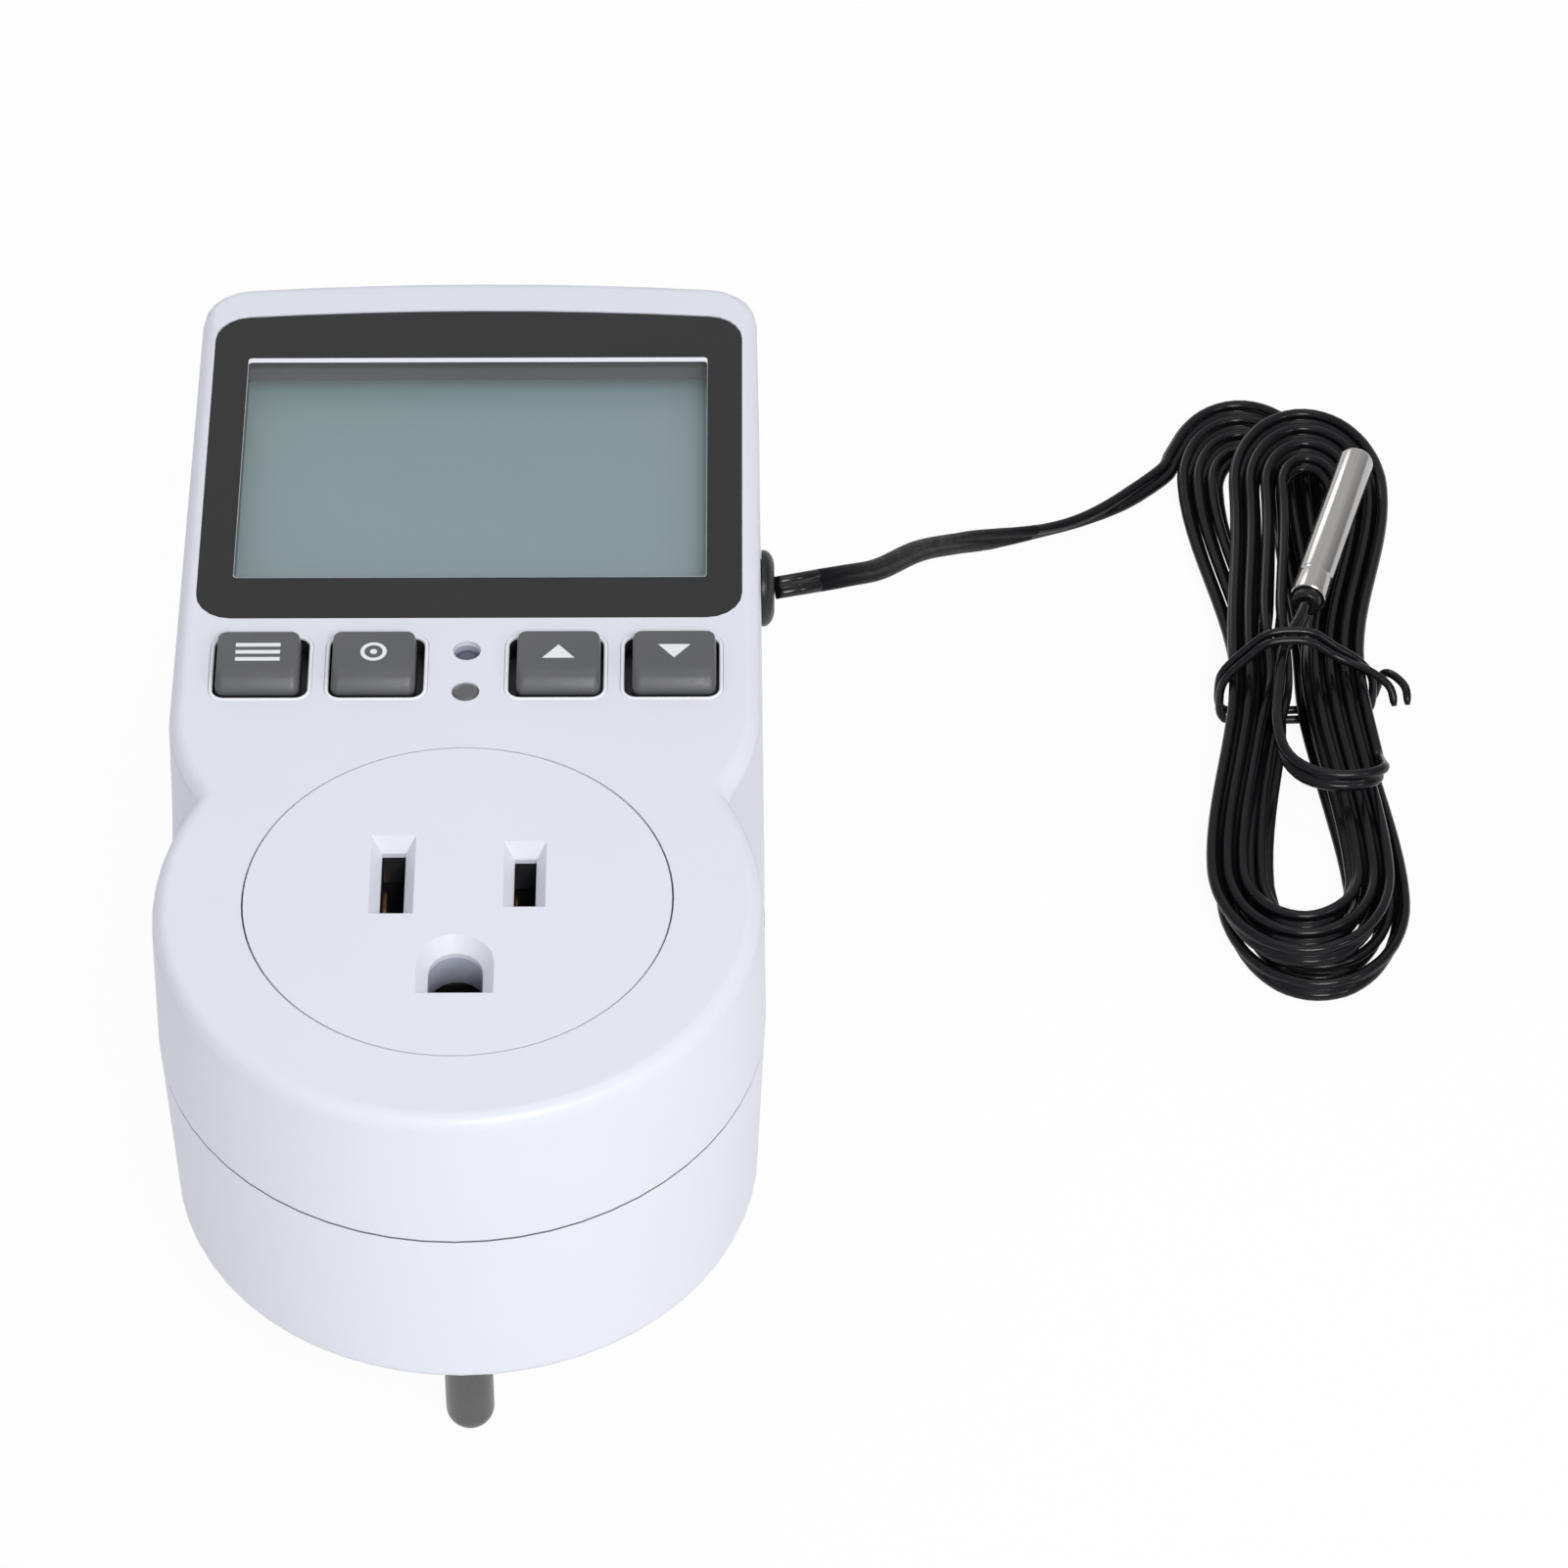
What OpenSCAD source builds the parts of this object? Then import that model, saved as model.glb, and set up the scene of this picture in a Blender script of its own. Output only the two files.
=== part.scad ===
// Plug in temperature controller. A housing with a pinched waist carries a socket in its face, a plug on
// its back, a display with four push buttons, and a probe on a tied hank of flat cord.
// The origin is the centre of the round socket end, on the back face. +Z points out of the socket face,
// +Y towards the display and +X towards the cord gland. All sizes are in millimetres.

/* [Housing] */
// Radius of the round socket end, at the face
drum_r = 29.2; // [28.8:0.1:31]
// Width of the housing left above the window, at its middle
head_margin = 5.2; // [5:0.2:9]
// Thickness of the housing, from the back face to the socket face
body_t = 37.2; // [36.6:0.2:40]
// Height of the parting line above the back face
seam_z = 20.8; // [20:0.2:22]
// Thickness of the housing walls
wall = 2; // [1.6:0.1:2.2]
// Radius of the corners of the head, seen from the face
corner_r = 5; // [3.6:0.2:6]
// How much the top edge bows out
top_bow = 1.4; // [0.8:0.2:2.4]
// Fillet along the edge of the face
edge_r = 1.6; // [1:0.1:1.8]
// How deep the waist is pinched in
waist_depth = 3.8; // [2.6:0.2:4.2]

/* [Socket and plug] */
// Width of the face round the socket insert
ring_w = 8.7; // [8.5:0.1:9.2]
// Distance between the two blades
blade_pitch = 12.7; // [12.5:0.1:12.9]
// Distance from the line of the blades to the ground pin
ground_drop = 11.89; // [11.7:0.01:12.1]
// Distance from the line of the blade slots down to the line of the plug's blades
plug_offset = 7; // [6.6:0.1:7.2]
// Length of the blades outside the housing
blade_len = 17.6; // [16:0.2:18.2]
// Width of the line blade
line_w = 6.35; // [6.1:0.05:6.5]
// Width of the neutral blade
neutral_w = 7.9; // [7.6:0.05:8.1]
// Length of the ground pin outside the housing
ground_len = 21; // [20:0.1:21.4]
// Radius of the ground pin
ground_r = 2.4; // [2.3:0.05:2.45]

/* [Display] */
// Width of the housing left beside the window
lens_side = 1.9; // [1.8:0.1:2.5]
// Distance from the buttons up to the window
lens_gap = 3.4; // [3.2:0.1:5]
// Width of the dark border beside the clear opening
border_side = 3.45; // [3.2:0.05:4.2]
// Width of the dark border below the clear opening
border_low = 5.9; // [5.6:0.1:7]
// Width of the dark border above the clear opening, at the middle of its bowed edge
border_high = 7.2; // [6.6:0.1:9]
// Height of the clear opening
view_h = 33.2; // [30:0.2:38]

/* [Buttons] */
// Distance from the side of the head to the outer buttons
button_side = 4.6; // [4.4:0.1:5.2]
// Gap between two neighbouring buttons
button_gap = 3.1; // [2.8:0.1:3.6]
// Distance from the middle of the head to the inner buttons
button_in = 4.7; // [4.5:0.1:5.3]
// Distance from the socket insert up to the buttons
button_rise = 7.7; // [7.5:0.1:10]
// Height of a button, seen from the face
button_h = 7.5; // [7:0.1:7.8]
// How far a button stands out of the face
button_out = 1.6; // [1.2:0.1:2]
// How far a button travels
button_travel = 0.6; // [0.4:0.05:0.7]

/* [Cord and probe] */
// Width of the flat cord
cord_w = 2.4; // [2.2:0.1:2.4]
// Thickness of the flat cord
cord_t = 1.2; // [1.1:0.05:1.2]
// Outer radius of the probe sleeve
probe_r = 2; // [1.8:0.1:2]
// Length of the probe sleeve
probe_len = 25; // [22:1:28]

/* [Hidden] */
$fn = 48;

// Cuts run past the faces that they open by this much
over = 1;
// Clearance between pieces that drop into each other, and between pieces that slide
drop_gap = 0.1;
slide_gap = 0.25;

// Layout of the face: outwards to the sides, and upwards from the socket to the top edge
panel_gap = 0.2;
panel_x = drum_r - panel_gap;
insert_r = drum_r - ring_w;
button_w = (panel_x - button_side - button_in - button_gap) / 2;
button_low_y = insert_r + button_rise;
lens_y = button_low_y + button_h + lens_gap;
lens_w = 2 * (panel_x - lens_side);
lens_h = border_low + view_h + border_high;
lens_top_y = lens_y + lens_h;
view_w = lens_w - 2 * border_side;
view_y = lens_y + border_low;
view_mid_y = view_y + view_h / 2;
head_y = lens_top_y + head_margin;

// Housing outline
panel_inset = 0.3;
shell_draft = 0.25;
seam_r = drum_r + shell_draft;
rear_inset = 0.9;
rear_edge_r = 1.2;
shadow_gap = 0.25;
tongue_h = 1.6;
tongue_t = wall / 2;
waist_y_share = 0.497;
flare_y_share = 0.89;
waist_y = drum_r * waist_y_share;
flare_y = drum_r * flare_y_share;
valley_blend = 0.35;
drum_stop_angle = 18;
drum_steps = 18;
flare_steps = 14;
corner_steps = 5;
bow_steps = 4;
face_in_z = body_t - wall;

// Window
lens_t = 1.5;
lens_sink = 0.1;
film_t = 0.15;
lens_corner_r = 3.5;
lens_bow = 1.2;
film_z = body_t - lens_sink - film_t;
lens_z = film_z - lens_t;
pad_t = 1.5;
pad_z = lens_z - pad_t;
window_gap = 0.3;
view_corner_r = 0.4;

// Display glass and what seats it
lcd_t = 2.75;
lcd_border_x = 1.35;
lcd_border_y = 1.8;
lcd_w = view_w + 2 * lcd_border_x;
lcd_h = view_h + 2 * lcd_border_y;
lcd_z = pad_z - lcd_t;
glass_share = 0.5;
glass_step = 1.2;
board_t = 1.6;
strip_h = 2.6;
strip_w = 2.4;
strip_in = 1.8;
strip_end = 2;
control_top = lcd_z - strip_h;
control_z = control_top - board_t;
holder_wall = 1;
holder_gap = 0.2;
holder_drop = 0.35;

// Buttons, listed from the left
button_y = button_low_y + button_h / 2;
button_inner_x = button_in + button_w / 2;
button_step = button_w + button_gap;
button_xs = [-button_inner_x - button_step, -button_inner_x, button_inner_x, button_inner_x + button_step];
button_hole_gap = 0.5;
button_corner_r = 0.9;
button_hole_r = 1.2;
flange_margin = 1.1;
flange_t = 0.8;
button_top_z = body_t + button_out;
flange_top_z = face_in_z - slide_gap;
flange_z = flange_top_z - flange_t;
post_r = 2.2;
post_h = 0.95;
post_z = flange_z - post_h;
crown_side = 0.7;
crown_near = 1.7;
crown_far = 0.5;
crown_steps = 4;
round_steps = 3;
switch_size = 6;
switch_h = 3.5;
plunger_r = 1.7;
plunger_in = 1.1;
plunger_hole_r = plunger_r + drop_gap;
plunger_bottom = control_top + switch_h - plunger_in;
rim_w = 0.45;
rim_depth = 0.2;

// Lamps
led_rise = 0.3;
led_step = 5.8;
led_ys = [button_low_y + led_rise, button_low_y + led_rise + led_step];
led_r = 1.5;
led_hole_r = 1.3;
led_bevel = 0.5;
led_flange_r = 1.9;
led_flange_t = 1;
led_sunk = 1.1;
led_dome_z = face_in_z - led_sunk;

// Socket insert
insert_gap = 0.17;
slot_y_share = 0.16;
slot_y = insert_r * slot_y_share;
slot_x = blade_pitch / 2;
ground_y = slot_y - ground_drop;
line_slot = [2.1, 6.8];
neutral_slot = [2.3, 8.5];
ground_slot = [5.2, 5.5];
arch_steps = 9;
slot_flare = 2;
ground_flare = 2.2;
flare_depth = 1.5;
insert_lip = 0.8;
insert_flange_r = insert_r + insert_lip;
insert_flange_t = 2;
barrel_margin = 9.65;
barrel_r = slot_x + barrel_margin;
barrel_y = slot_y + ground_y;
clip_w = 8;
ground_clip_w = 6;
foot_t = 0.8;
pocket_gap = 0.2;
pocket_line = [5.2, clip_w + 2 * (foot_t + pocket_gap)];
pocket_ground = [8.2, ground_clip_w + 2 * (foot_t + pocket_gap)];
pocket_roof = 3.5;
pocket_top = face_in_z - pocket_roof;
screw_boss_r = 2.5;
ear_in = 0.55;
ear_x = drum_r - wall - slide_gap - screw_boss_r - ear_in;
ear_w = 6;
ear_t = 2;
ear_drop = 8;
ear_z = face_in_z - ear_drop;

// Plug
plug_y = slot_y - plug_offset;
pin_y = plug_y - ground_drop;
blade_t = 1.5;
blade_fit = 0.05;
wall_fit = 0.15;
tip_in = 1.4;
blade_hole_r = 1.6;
blade_hole_drop = 11.9;
base_t = 7.2;
base_z = wall;
base_top = base_z + base_t;
head_t = 1.2;
head_top = base_top + head_t;
blade_head = [3.4, 1.6];
pin_shoulder = 0.3;
pin_shank_r = ground_r - pin_shoulder;
pin_head_r = 3.2;
base_side = 6.15;
base_w = blade_pitch + 2 * base_side;
base_margin = 5.4;
base_wall_gap = 1.5;
base_corner_r = 3;
base_ear_in = 12.2;
base_ear_x = drum_r - base_ear_in;
base_ear_r = 3;
base_ear_t = 3;
base_ear_drop = 3.3;
base_ear_y = plug_y - base_ear_drop;

// Contact clips
clip_t = 0.6;
clip_gap = 1.7;
clip_pinch = 0.35;
clip_pinch_share = 0.72;
clip_lift = 0.8;
barrel_rise = 7.1;
barrel_z = head_top + barrel_rise;
clip_z = barrel_z + clip_lift;
clip_h = pocket_top - clip_lift - clip_z;
ground_clip_gap = 5;
ground_pinch = 0.1;
foot_w = 3.6;

// Screws: radius of the shank, of the head, and height of the head
screw_r = 1.2;
screw_head_r = 2.4;
screw_head_t = 1.8;
screw_fit = 0.05;
pilot_r = screw_r + screw_fit;
screw_hole_r = screw_r + slide_gap;
long_post_r = 3.3;
long_boss_r = 2.6;
long_head_z = 12.8;
long_seat_z = long_head_z + screw_head_t;
post_top_z = 18;
long_bite = 12;
short_bite = 5;
small_bite = 4.5;
counterbore_r = screw_head_r + slide_gap;
top_screw_in = [6.1, 5.8];
top_screw = [panel_x - panel_inset - top_screw_in.x, head_y - top_screw_in.y];
ring_screw_in = 4.8;
ring_screw_angle = 47;
ring_screw_r = drum_r - ring_screw_in;
ring_screw = [ring_screw_r * cos(ring_screw_angle), -ring_screw_r * sin(ring_screw_angle)];
housing_screw_places = [top_screw, [-top_screw.x, top_screw.y], ring_screw, [-ring_screw.x, ring_screw.y]];

// Boards
board_side_gap = 1.2;
control_edge_x = panel_x - panel_inset - wall - board_side_gap;
control_drop = 2.7;
control_y = button_low_y - control_drop;
board_end_gap = 1.8;
board_top_y = head_y - wall - board_end_gap;
control_low_in = 2.1;
control_low_x = control_edge_x - control_low_in;
control_boss_r = 2.2;
control_boss_gap = 0.6;
control_low_y = view_y - lcd_border_y - holder_gap - holder_wall - control_boss_r - control_boss_gap;
control_high_side = 8.6;
control_high_x = top_screw.x - control_high_side;
control_high_in = 2.8;
control_screw_places = [[control_low_x, control_low_y], [-control_low_x, control_low_y],
  [control_high_x, board_top_y - control_high_in], [-control_high_x, board_top_y - control_high_in]];
power_z = 8;
power_top = power_z + board_t;
power_edge_in = 0.5;
power_edge_x = control_edge_x - power_edge_in;
power_drop = 3.7;
power_y = button_low_y - power_drop;
power_low_in = [3.5, 3.1];
power_low = [power_edge_x - power_low_in.x, power_y + power_low_in.y];
power_high_side = 10.6;
power_high_x = top_screw.x - power_high_side;
power_high_in = 3.5;
power_screw_places = [power_low, [-power_low.x, power_low.y],
  [power_high_x, board_top_y - power_high_in], [-power_high_x, board_top_y - power_high_in]];
power_boss_r = 2.6;
corner_gap = 0.5;

// Parts on the boards, set out from the boards' sides and near ends; the tall ones stop short of the board
// above them
parts_room = control_z - power_top;
chip_rise = 40.5;
chip_place = [-4, control_y + chip_rise];
chip_size = [10, 10, 1.4];
relay_in = [2, 7.9];
relay_near_x = 3.8;
relay_head = 2.2;
relay_size = [power_edge_x - relay_in.x - relay_near_x, 15.6, parts_room - relay_head];
relay_place = [power_edge_x - relay_in.x - relay_size.x / 2, power_y + relay_in.y + relay_size.y / 2];
film_in = [3.6, 7.85];
film_near_x = 3.4;
film_head = 2.9;
film_size = [power_edge_x - film_in.x - film_near_x, 8.5, parts_room - film_head];
film_place = [-film_near_x - film_size.x / 2, power_y + film_in.y + film_size.y / 2];
fuse_rise = 29.5;
fuse_place = [film_place.x, power_y + fuse_rise];
fuse_size = [8.4, 4.2, 8];
fuse_corner_r = 0.8;
rectifier_rise = 31.5;
rectifier_place = [0.5, power_y + rectifier_rise];
rectifier_size = [8.5, 6.4, 3.3];
can_in = [10.4, 41.5];
can_place = [can_in.x - power_edge_x, power_y + can_in.y];
can_r = 5;
can_head = 1.8;
can_h = parts_room - can_head;
can_groove = 0.4;
can_groove_z = 3;
can_edge = 0.7;
disc_in = [8.4, 21.9];
disc_place = [disc_in.x - power_edge_x, power_y + disc_in.y];
disc_r = 4.8;
disc_t = 4;
disc_lift = 1.6;
lead_r = 0.4;
lead_pitch = 5;
link_in = [2.9, 16.4];
link_place = [link_in.x - control_edge_x, board_top_y - link_in.y];
link_size = [2.5, 15.2];
link_block = 2.5;
link_pin = 0.64;
link_count = 6;
connector_in = [9.9, 12];
connector_place = [control_edge_x - connector_in.x, board_top_y - connector_in.y];
connector_size = [7.5, 5.8, 5.6];

// Mains wiring
wire_r = 1;
wire_sides = 6;
wire_bend = 2.6;
wire_cuts = 4;
tab_drop = 3.4;
tab_lift = 1.3;
wire_in = 3.2;
landing_y = power_y + wire_in;
wire_rise = 3.8;
run_z = head_top + wire_rise;
side_run = 4.65;
side_run_y = 1.2;
load_run = 4.7;
load_run_x = 2.6;
load_turn = 12.7;
join_gap = 0.2;

// Gland, centred on the parting line
gland_y = 60.7;
gland_head_r = 3.95;
gland_head_t = 1.35;
gland_neck_r = 3;
gland_back_r = 3.9;
gland_back_t = 1.5;
gland_round = 0.7;
gland_x = seam_half(gland_y);
gland_out_x = gland_x + gland_head_t;
gland_back_x = gland_x - wall - tongue_t - gland_back_t;

// The hank lies on the surface that the ground pin's tip reaches. Its loops are nested in two layers: the
// tube spirals in on the lower layer, climbs along a run, and spirals out again on the upper one. Every
// loop is drawn in at the waist. At the far end the layers lean apart into two ears, the upper one shorter.
floor_z = -ground_len;
hank_x = 87;
hank_y = 86;
far_len = 47.6;
far_less = 4.2;
far_crown = 13;
near_len = 45.4;
near_less = 1.6;
near_crown = 14.2;
crown_step = 2.5;
lobe_half = 10.3;
lobe_lean = 0.5;
ear_half = 8.4;
ear_lean = 3.2;
loop_rings = 24;
hank_sides = 6;
hank_phase = 30;
cord_sides = 8;
cord_phase = 22.5;
cord_cuts = 3;
loop_step = 1.65;
layer_step = 2.9;
middle_gap = 0.85;
start_ring = 4;
end_ring = 181;
climb_rings = 6;
half_ring = (start_ring + end_ring) / 2;
most_in = (end_ring - start_ring) / 2 / loop_rings;
waist_half = middle_gap + most_in * loop_step;
waist_lift = 1.4;
strand_gap_shown = 0.4;
run_rings = 3;
fold_rings = 6;
cord_lift = 0.05;
low_z = floor_z + cord_w / 2 + cord_lift;

// Route of the free stretch of cord, from the gland to the hank, and of the tail up to the probe
lead_route = [[34, 61.8, 20.6], [38, 66, 17.6], [41.5, 73, 12], [46, 86, 2.5], [51, 98.6, -8],
  [55.8, 107, -15], [60.4, 112, -18.6], [65, 115, -19.7], [69.8, 118.2, -19.75]];
tail_route = [[95.4, 70.4, -15], [95.4, 68.4, -13.7], [93.7, 66.8, -13], [90.6, 66.3, -12.8],
  [87.5, 67.2, -12.7], [85.4, 69.8, -12.7], [84.7, 73.8, -12.7], [84.8, 78.4, -12.7], [85.3, 83, -12.6],
  [86.2, 87, -12.5], [87.3, 90.4, -12.4]];
probe_start = [88.9, 94, -12.2];
probe_end = [95.8, 118, -13.3];
seal_len = 1.2;
sleeve_wall = 0.25;
sleeve_floor = 2;
crimp_in = 0.15;
crimp_w = 1;
crimp_from = 3;
sleeve_bore_r = probe_r - sleeve_wall - crimp_in;
tie_r = 0.45;
tie_sides = 6;
tie_cuts = 2;
tie_ref = [0, 4, 3] / 5;
tie_route = [[97.7, 80.4, -15.4], [97.2, 82, -14], [95.4, 83.4, -13], [93.2, 84.4, -12.7], [91, 85, -12],
  [88.7, 85.4, -10.6], [86.2, 85.4, -10.3], [83.8, 85.1, -10.6], [81.6, 84.6, -12.1], [79.7, 84, -13.4],
  [78.3, 83.5, -15], [78, 83.3, -17.1], [78.3, 83.3, -19.4], [80, 83.4, -20.4], [87, 83.6, -20.5],
  [94, 83.9, -20.4], [95.7, 84.1, -19.4], [96, 84.4, -17.1], [95.7, 84.9, -15], [94.2, 85.6, -13.4],
  [91.8, 86.3, -12.1], [89.2, 86.8, -10.6], [86.5, 86.9, -10.3], [83.9, 86.6, -10.6], [81.6, 86.1, -12.1],
  [79.7, 85.5, -13.4], [78.2, 85, -15], [77.9, 84.8, -17.1], [78.2, 84.8, -19.4], [80, 84.9, -20.4],
  [87, 85.1, -20.5], [94, 85.4, -20.4], [96, 85.6, -19.4], [96.7, 85.7, -17.1], [97.1, 85.3, -15.2],
  [98, 83.8, -14], [98.9, 81.9, -14], [99.1, 80.2, -15]];

// Half width of the drum and of the flare above it, blended at the valley where they meet
function drum_half(y) = sqrt(max(drum_r * drum_r - y * y, 0));
function flare_half(y) = panel_x - waist_depth * pow(max(flare_y - y, 0) / (flare_y - waist_y), 2);
function face_half(y) = let (a = drum_half(y), b = flare_half(y))
  (a + b + sqrt((a - b) * (a - b) + valley_blend * valley_blend)) / 2;
function seam_half(y) = seam_r - (panel_gap + panel_inset) * max(y, 0) / head_y;

// Points along an arc, and the right half of a bowed top with rounded corners
function arc(c, r, from, to, n) =
  [for (i = [0:n]) let (a = from + (to - from) * i / n) [c.x + r * cos(a), c.y + r * sin(a)]];
function bowed_top(half, top, r, bow, corner_n, bow_n) = let (
  big = (half * half + bow * bow) / (2 * bow),
  mid = top - big,
  c = [half - r, mid + sqrt((big - r) * (big - r) - (half - r) * (half - r))],
  split = atan2(c.y - mid, c.x),
  bow_arc = arc([0, mid], big, split, 90, bow_n))
  concat(arc(c, r, 0, split, corner_n), [for (i = [1:bow_n]) bow_arc[i]]);
function both_halves(right) =
  concat(right, [for (i = [len(right) - 2:-1:1]) [-right[i].x, right[i].y]]);

// The housing's outline. At share 0 it is the face outline, with the waist pinched in; at share 1 it is the
// full outline at the parting line. The points of the two match one by one.
drum_angles = [for (i = [0:drum_steps]) -90 + (90 + drum_stop_angle) * i / drum_steps];
flare_from = drum_r * sin(drum_stop_angle);
flare_ys = [for (i = [1:flare_steps]) flare_from + (flare_y + edge_r - flare_from) * i / flare_steps];
face_outline = both_halves(concat(
  [for (a = drum_angles) [drum_r * cos(a), drum_r * sin(a)]],
  [for (y = flare_ys) [face_half(y), y]],
  bowed_top(panel_x - panel_inset, head_y, corner_r, top_bow, corner_steps, bow_steps)));
seam_outline = both_halves(concat(
  [for (a = drum_angles) let (y = drum_r * sin(a))
    a < 0 ? [seam_r * cos(a), seam_r * sin(a)] : [seam_half(y), y]],
  [for (y = flare_ys) [seam_half(y), y]],
  bowed_top(seam_half(head_y), head_y + shell_draft, corner_r, top_bow, corner_steps, bow_steps)));

// A ring of the housing at height z, moved in along its own normals
function inward(ring, i, d) = let (n = len(ring), t = ring[(i + 1) % n] - ring[(i + n - 1) % n])
  ring[i] + d * [-t.y, t.x] / norm(t);
function shell_ring(z, share, d) = let (
  flat = [for (i = [0:len(face_outline) - 1]) face_outline[i] * (1 - share) + seam_outline[i] * share])
  [for (i = [0:len(flat) - 1]) let (p = inward(flat, i, d)) [p.x, p.y, z]];
function front_ring(z, d) = shell_ring(z, max(0, (body_t - z) / (body_t - seam_z)), d);
function rear_ring(z, d) = shell_ring(z, 1, d + rear_inset * max(0, 1 - z / seam_z));

// A closed skin over rings of points that all run anticlockwise seen from above, lowest ring first
module loft(rings) {
  n = len(rings[0]);
  last = (len(rings) - 1) * n;
  polyhedron(
    points = [for (ring = rings) each ring],
    faces = concat(
      [for (k = [0:n:last - 1]) for (i = [0:n - 1]) [k + i, k + n + i, k + n + (i + 1) % n]],
      [for (k = [0:n:last - 1]) for (i = [0:n - 1]) [k + i, k + n + (i + 1) % n, k + (i + 1) % n]],
      [[for (i = [0:n - 1]) i], [for (i = [n - 1:-1:0]) last + i]]));
}

// Trims its children flat at two heights, so that the ends are whole faces that holes can cut
module trimmed(low, high) intersection() {
  children();
  translate([-drum_r - over, -drum_r - over, low])
    cube([2 * (drum_r + over), drum_r + head_y + 2 * over, high - low]);
}

// Plain building forms: a rod on a place, a block on a place, and a rounded plate
module rod(place, r, from, to) translate([place.x, place.y, from]) cylinder(r = r, h = to - from);
module block(place, size, from) translate([place.x - size.x / 2, place.y - size.y / 2, from]) cube(size);
module rounded(w, h, r) {
  square([w - 2 * r, h], center = true);
  square([w, h - 2 * r], center = true);
  for (x = [-1, 1]) for (y = [-1, 1]) translate([x * (w / 2 - r), y * (h / 2 - r)]) circle(r);
}
module rounded_plate(place, w, h, r, from, to)
  translate([place.x, place.y, from]) linear_extrude(to - from) rounded(w, h, r);
function box_ring(c, w, h, z) =
  [[c.x + w / 2, c.y - h / 2, z], [c.x + w / 2, c.y + h / 2, z],
    [c.x - w / 2, c.y + h / 2, z], [c.x - w / 2, c.y - h / 2, z]];
function round_ring(c, w, h, r, z, n) = [for (q = [0:3]) let (
  sx = q == 0 || q == 3 ? 1 : -1, sy = q < 2 ? 1 : -1)
  for (p = arc([c.x + sx * (w / 2 - r), c.y + sy * (h / 2 - r)], r, q * 90, q * 90 + 90, n)) [p.x, p.y, z]];

// The ground hole: round at the top, flat at the bottom
function arch_ring(c, w, h, z) = concat(
  [[c.x - w / 2, c.y - h / 2, z], [c.x + w / 2, c.y - h / 2, z]],
  [for (p = arc([c.x, c.y + h / 2 - w / 2], w / 2, 0, 180, arch_steps)) [p.x, p.y, z]]);

// Outline of the window and of its recess
function lens_outline(gap) = let (half = lens_w / 2 + gap, r = lens_corner_r + gap) both_halves(concat(
  [[0, lens_y - gap]],
  arc([half - r, lens_y - gap + r], r, -90, 0, corner_steps),
  bowed_top(half, lens_top_y + gap, r, lens_bow, corner_steps, bow_steps)));

// A screw whose head seats at seat_z, with its shank up from there, or down with turned set
module screw(place, seat_z, bite, turned = false) translate([place.x, place.y, seat_z])
  rotate([turned ? 180 : 0, 0, 0]) {
    translate([0, 0, -screw_head_t]) cylinder(r = screw_head_r, h = screw_head_t);
    cylinder(r = screw_r, h = bite);
  }

// An oval tube along points. Its up side leans towards ref, and its rings all have the same number of sides.
function along(path, i) = let (a = path[max(i - 1, 0)], b = path[min(i + 1, len(path) - 1)])
  (b - a) / norm(b - a);
upright = [0, 0, 1];
wire_ref = [1, 0, 0];
function tube_ring(p, dir, across, up, sides, phase, ref) = let (
  side = cross(dir, ref) / norm(cross(dir, ref)), top = cross(side, dir))
  [for (k = [0:sides - 1]) let (a = -360 * k / sides - phase)
    p + across / 2 * cos(a) * side + up / 2 * sin(a) * top];
module tube(path, across, up, sides, phase, ref) loft(
  [for (i = [0:len(path) - 1]) tube_ring(path[i], along(path, i), across, up, sides, phase, ref)]);

// A smooth curve through chosen points, each stretch cut into n steps
function curve_at(p, i, t) = let (
  a = p[max(i - 1, 0)], b = p[i], c = p[i + 1], d = p[min(i + 2, len(p) - 1)])
  b + t * ((c - a) / 2 + t * (a - b * 5 / 2 + c * 2 - d / 2 + t * ((b - c) * 3 / 2 + (d - a) / 2)));
function smooth(p, n) = concat(
  [for (i = [0:len(p) - 2]) for (k = [0:n - 1]) curve_at(p, i, k / n)], [p[len(p) - 1]]);

// The flat cord, standing on its edge
module cord(path) tube(path, cord_t, cord_w, cord_sides, cord_phase, upright);

// Places of the socket's three holes
line_place = [slot_x, slot_y];
neutral_place = [-slot_x, slot_y];
ground_place = [0, ground_y];

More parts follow.
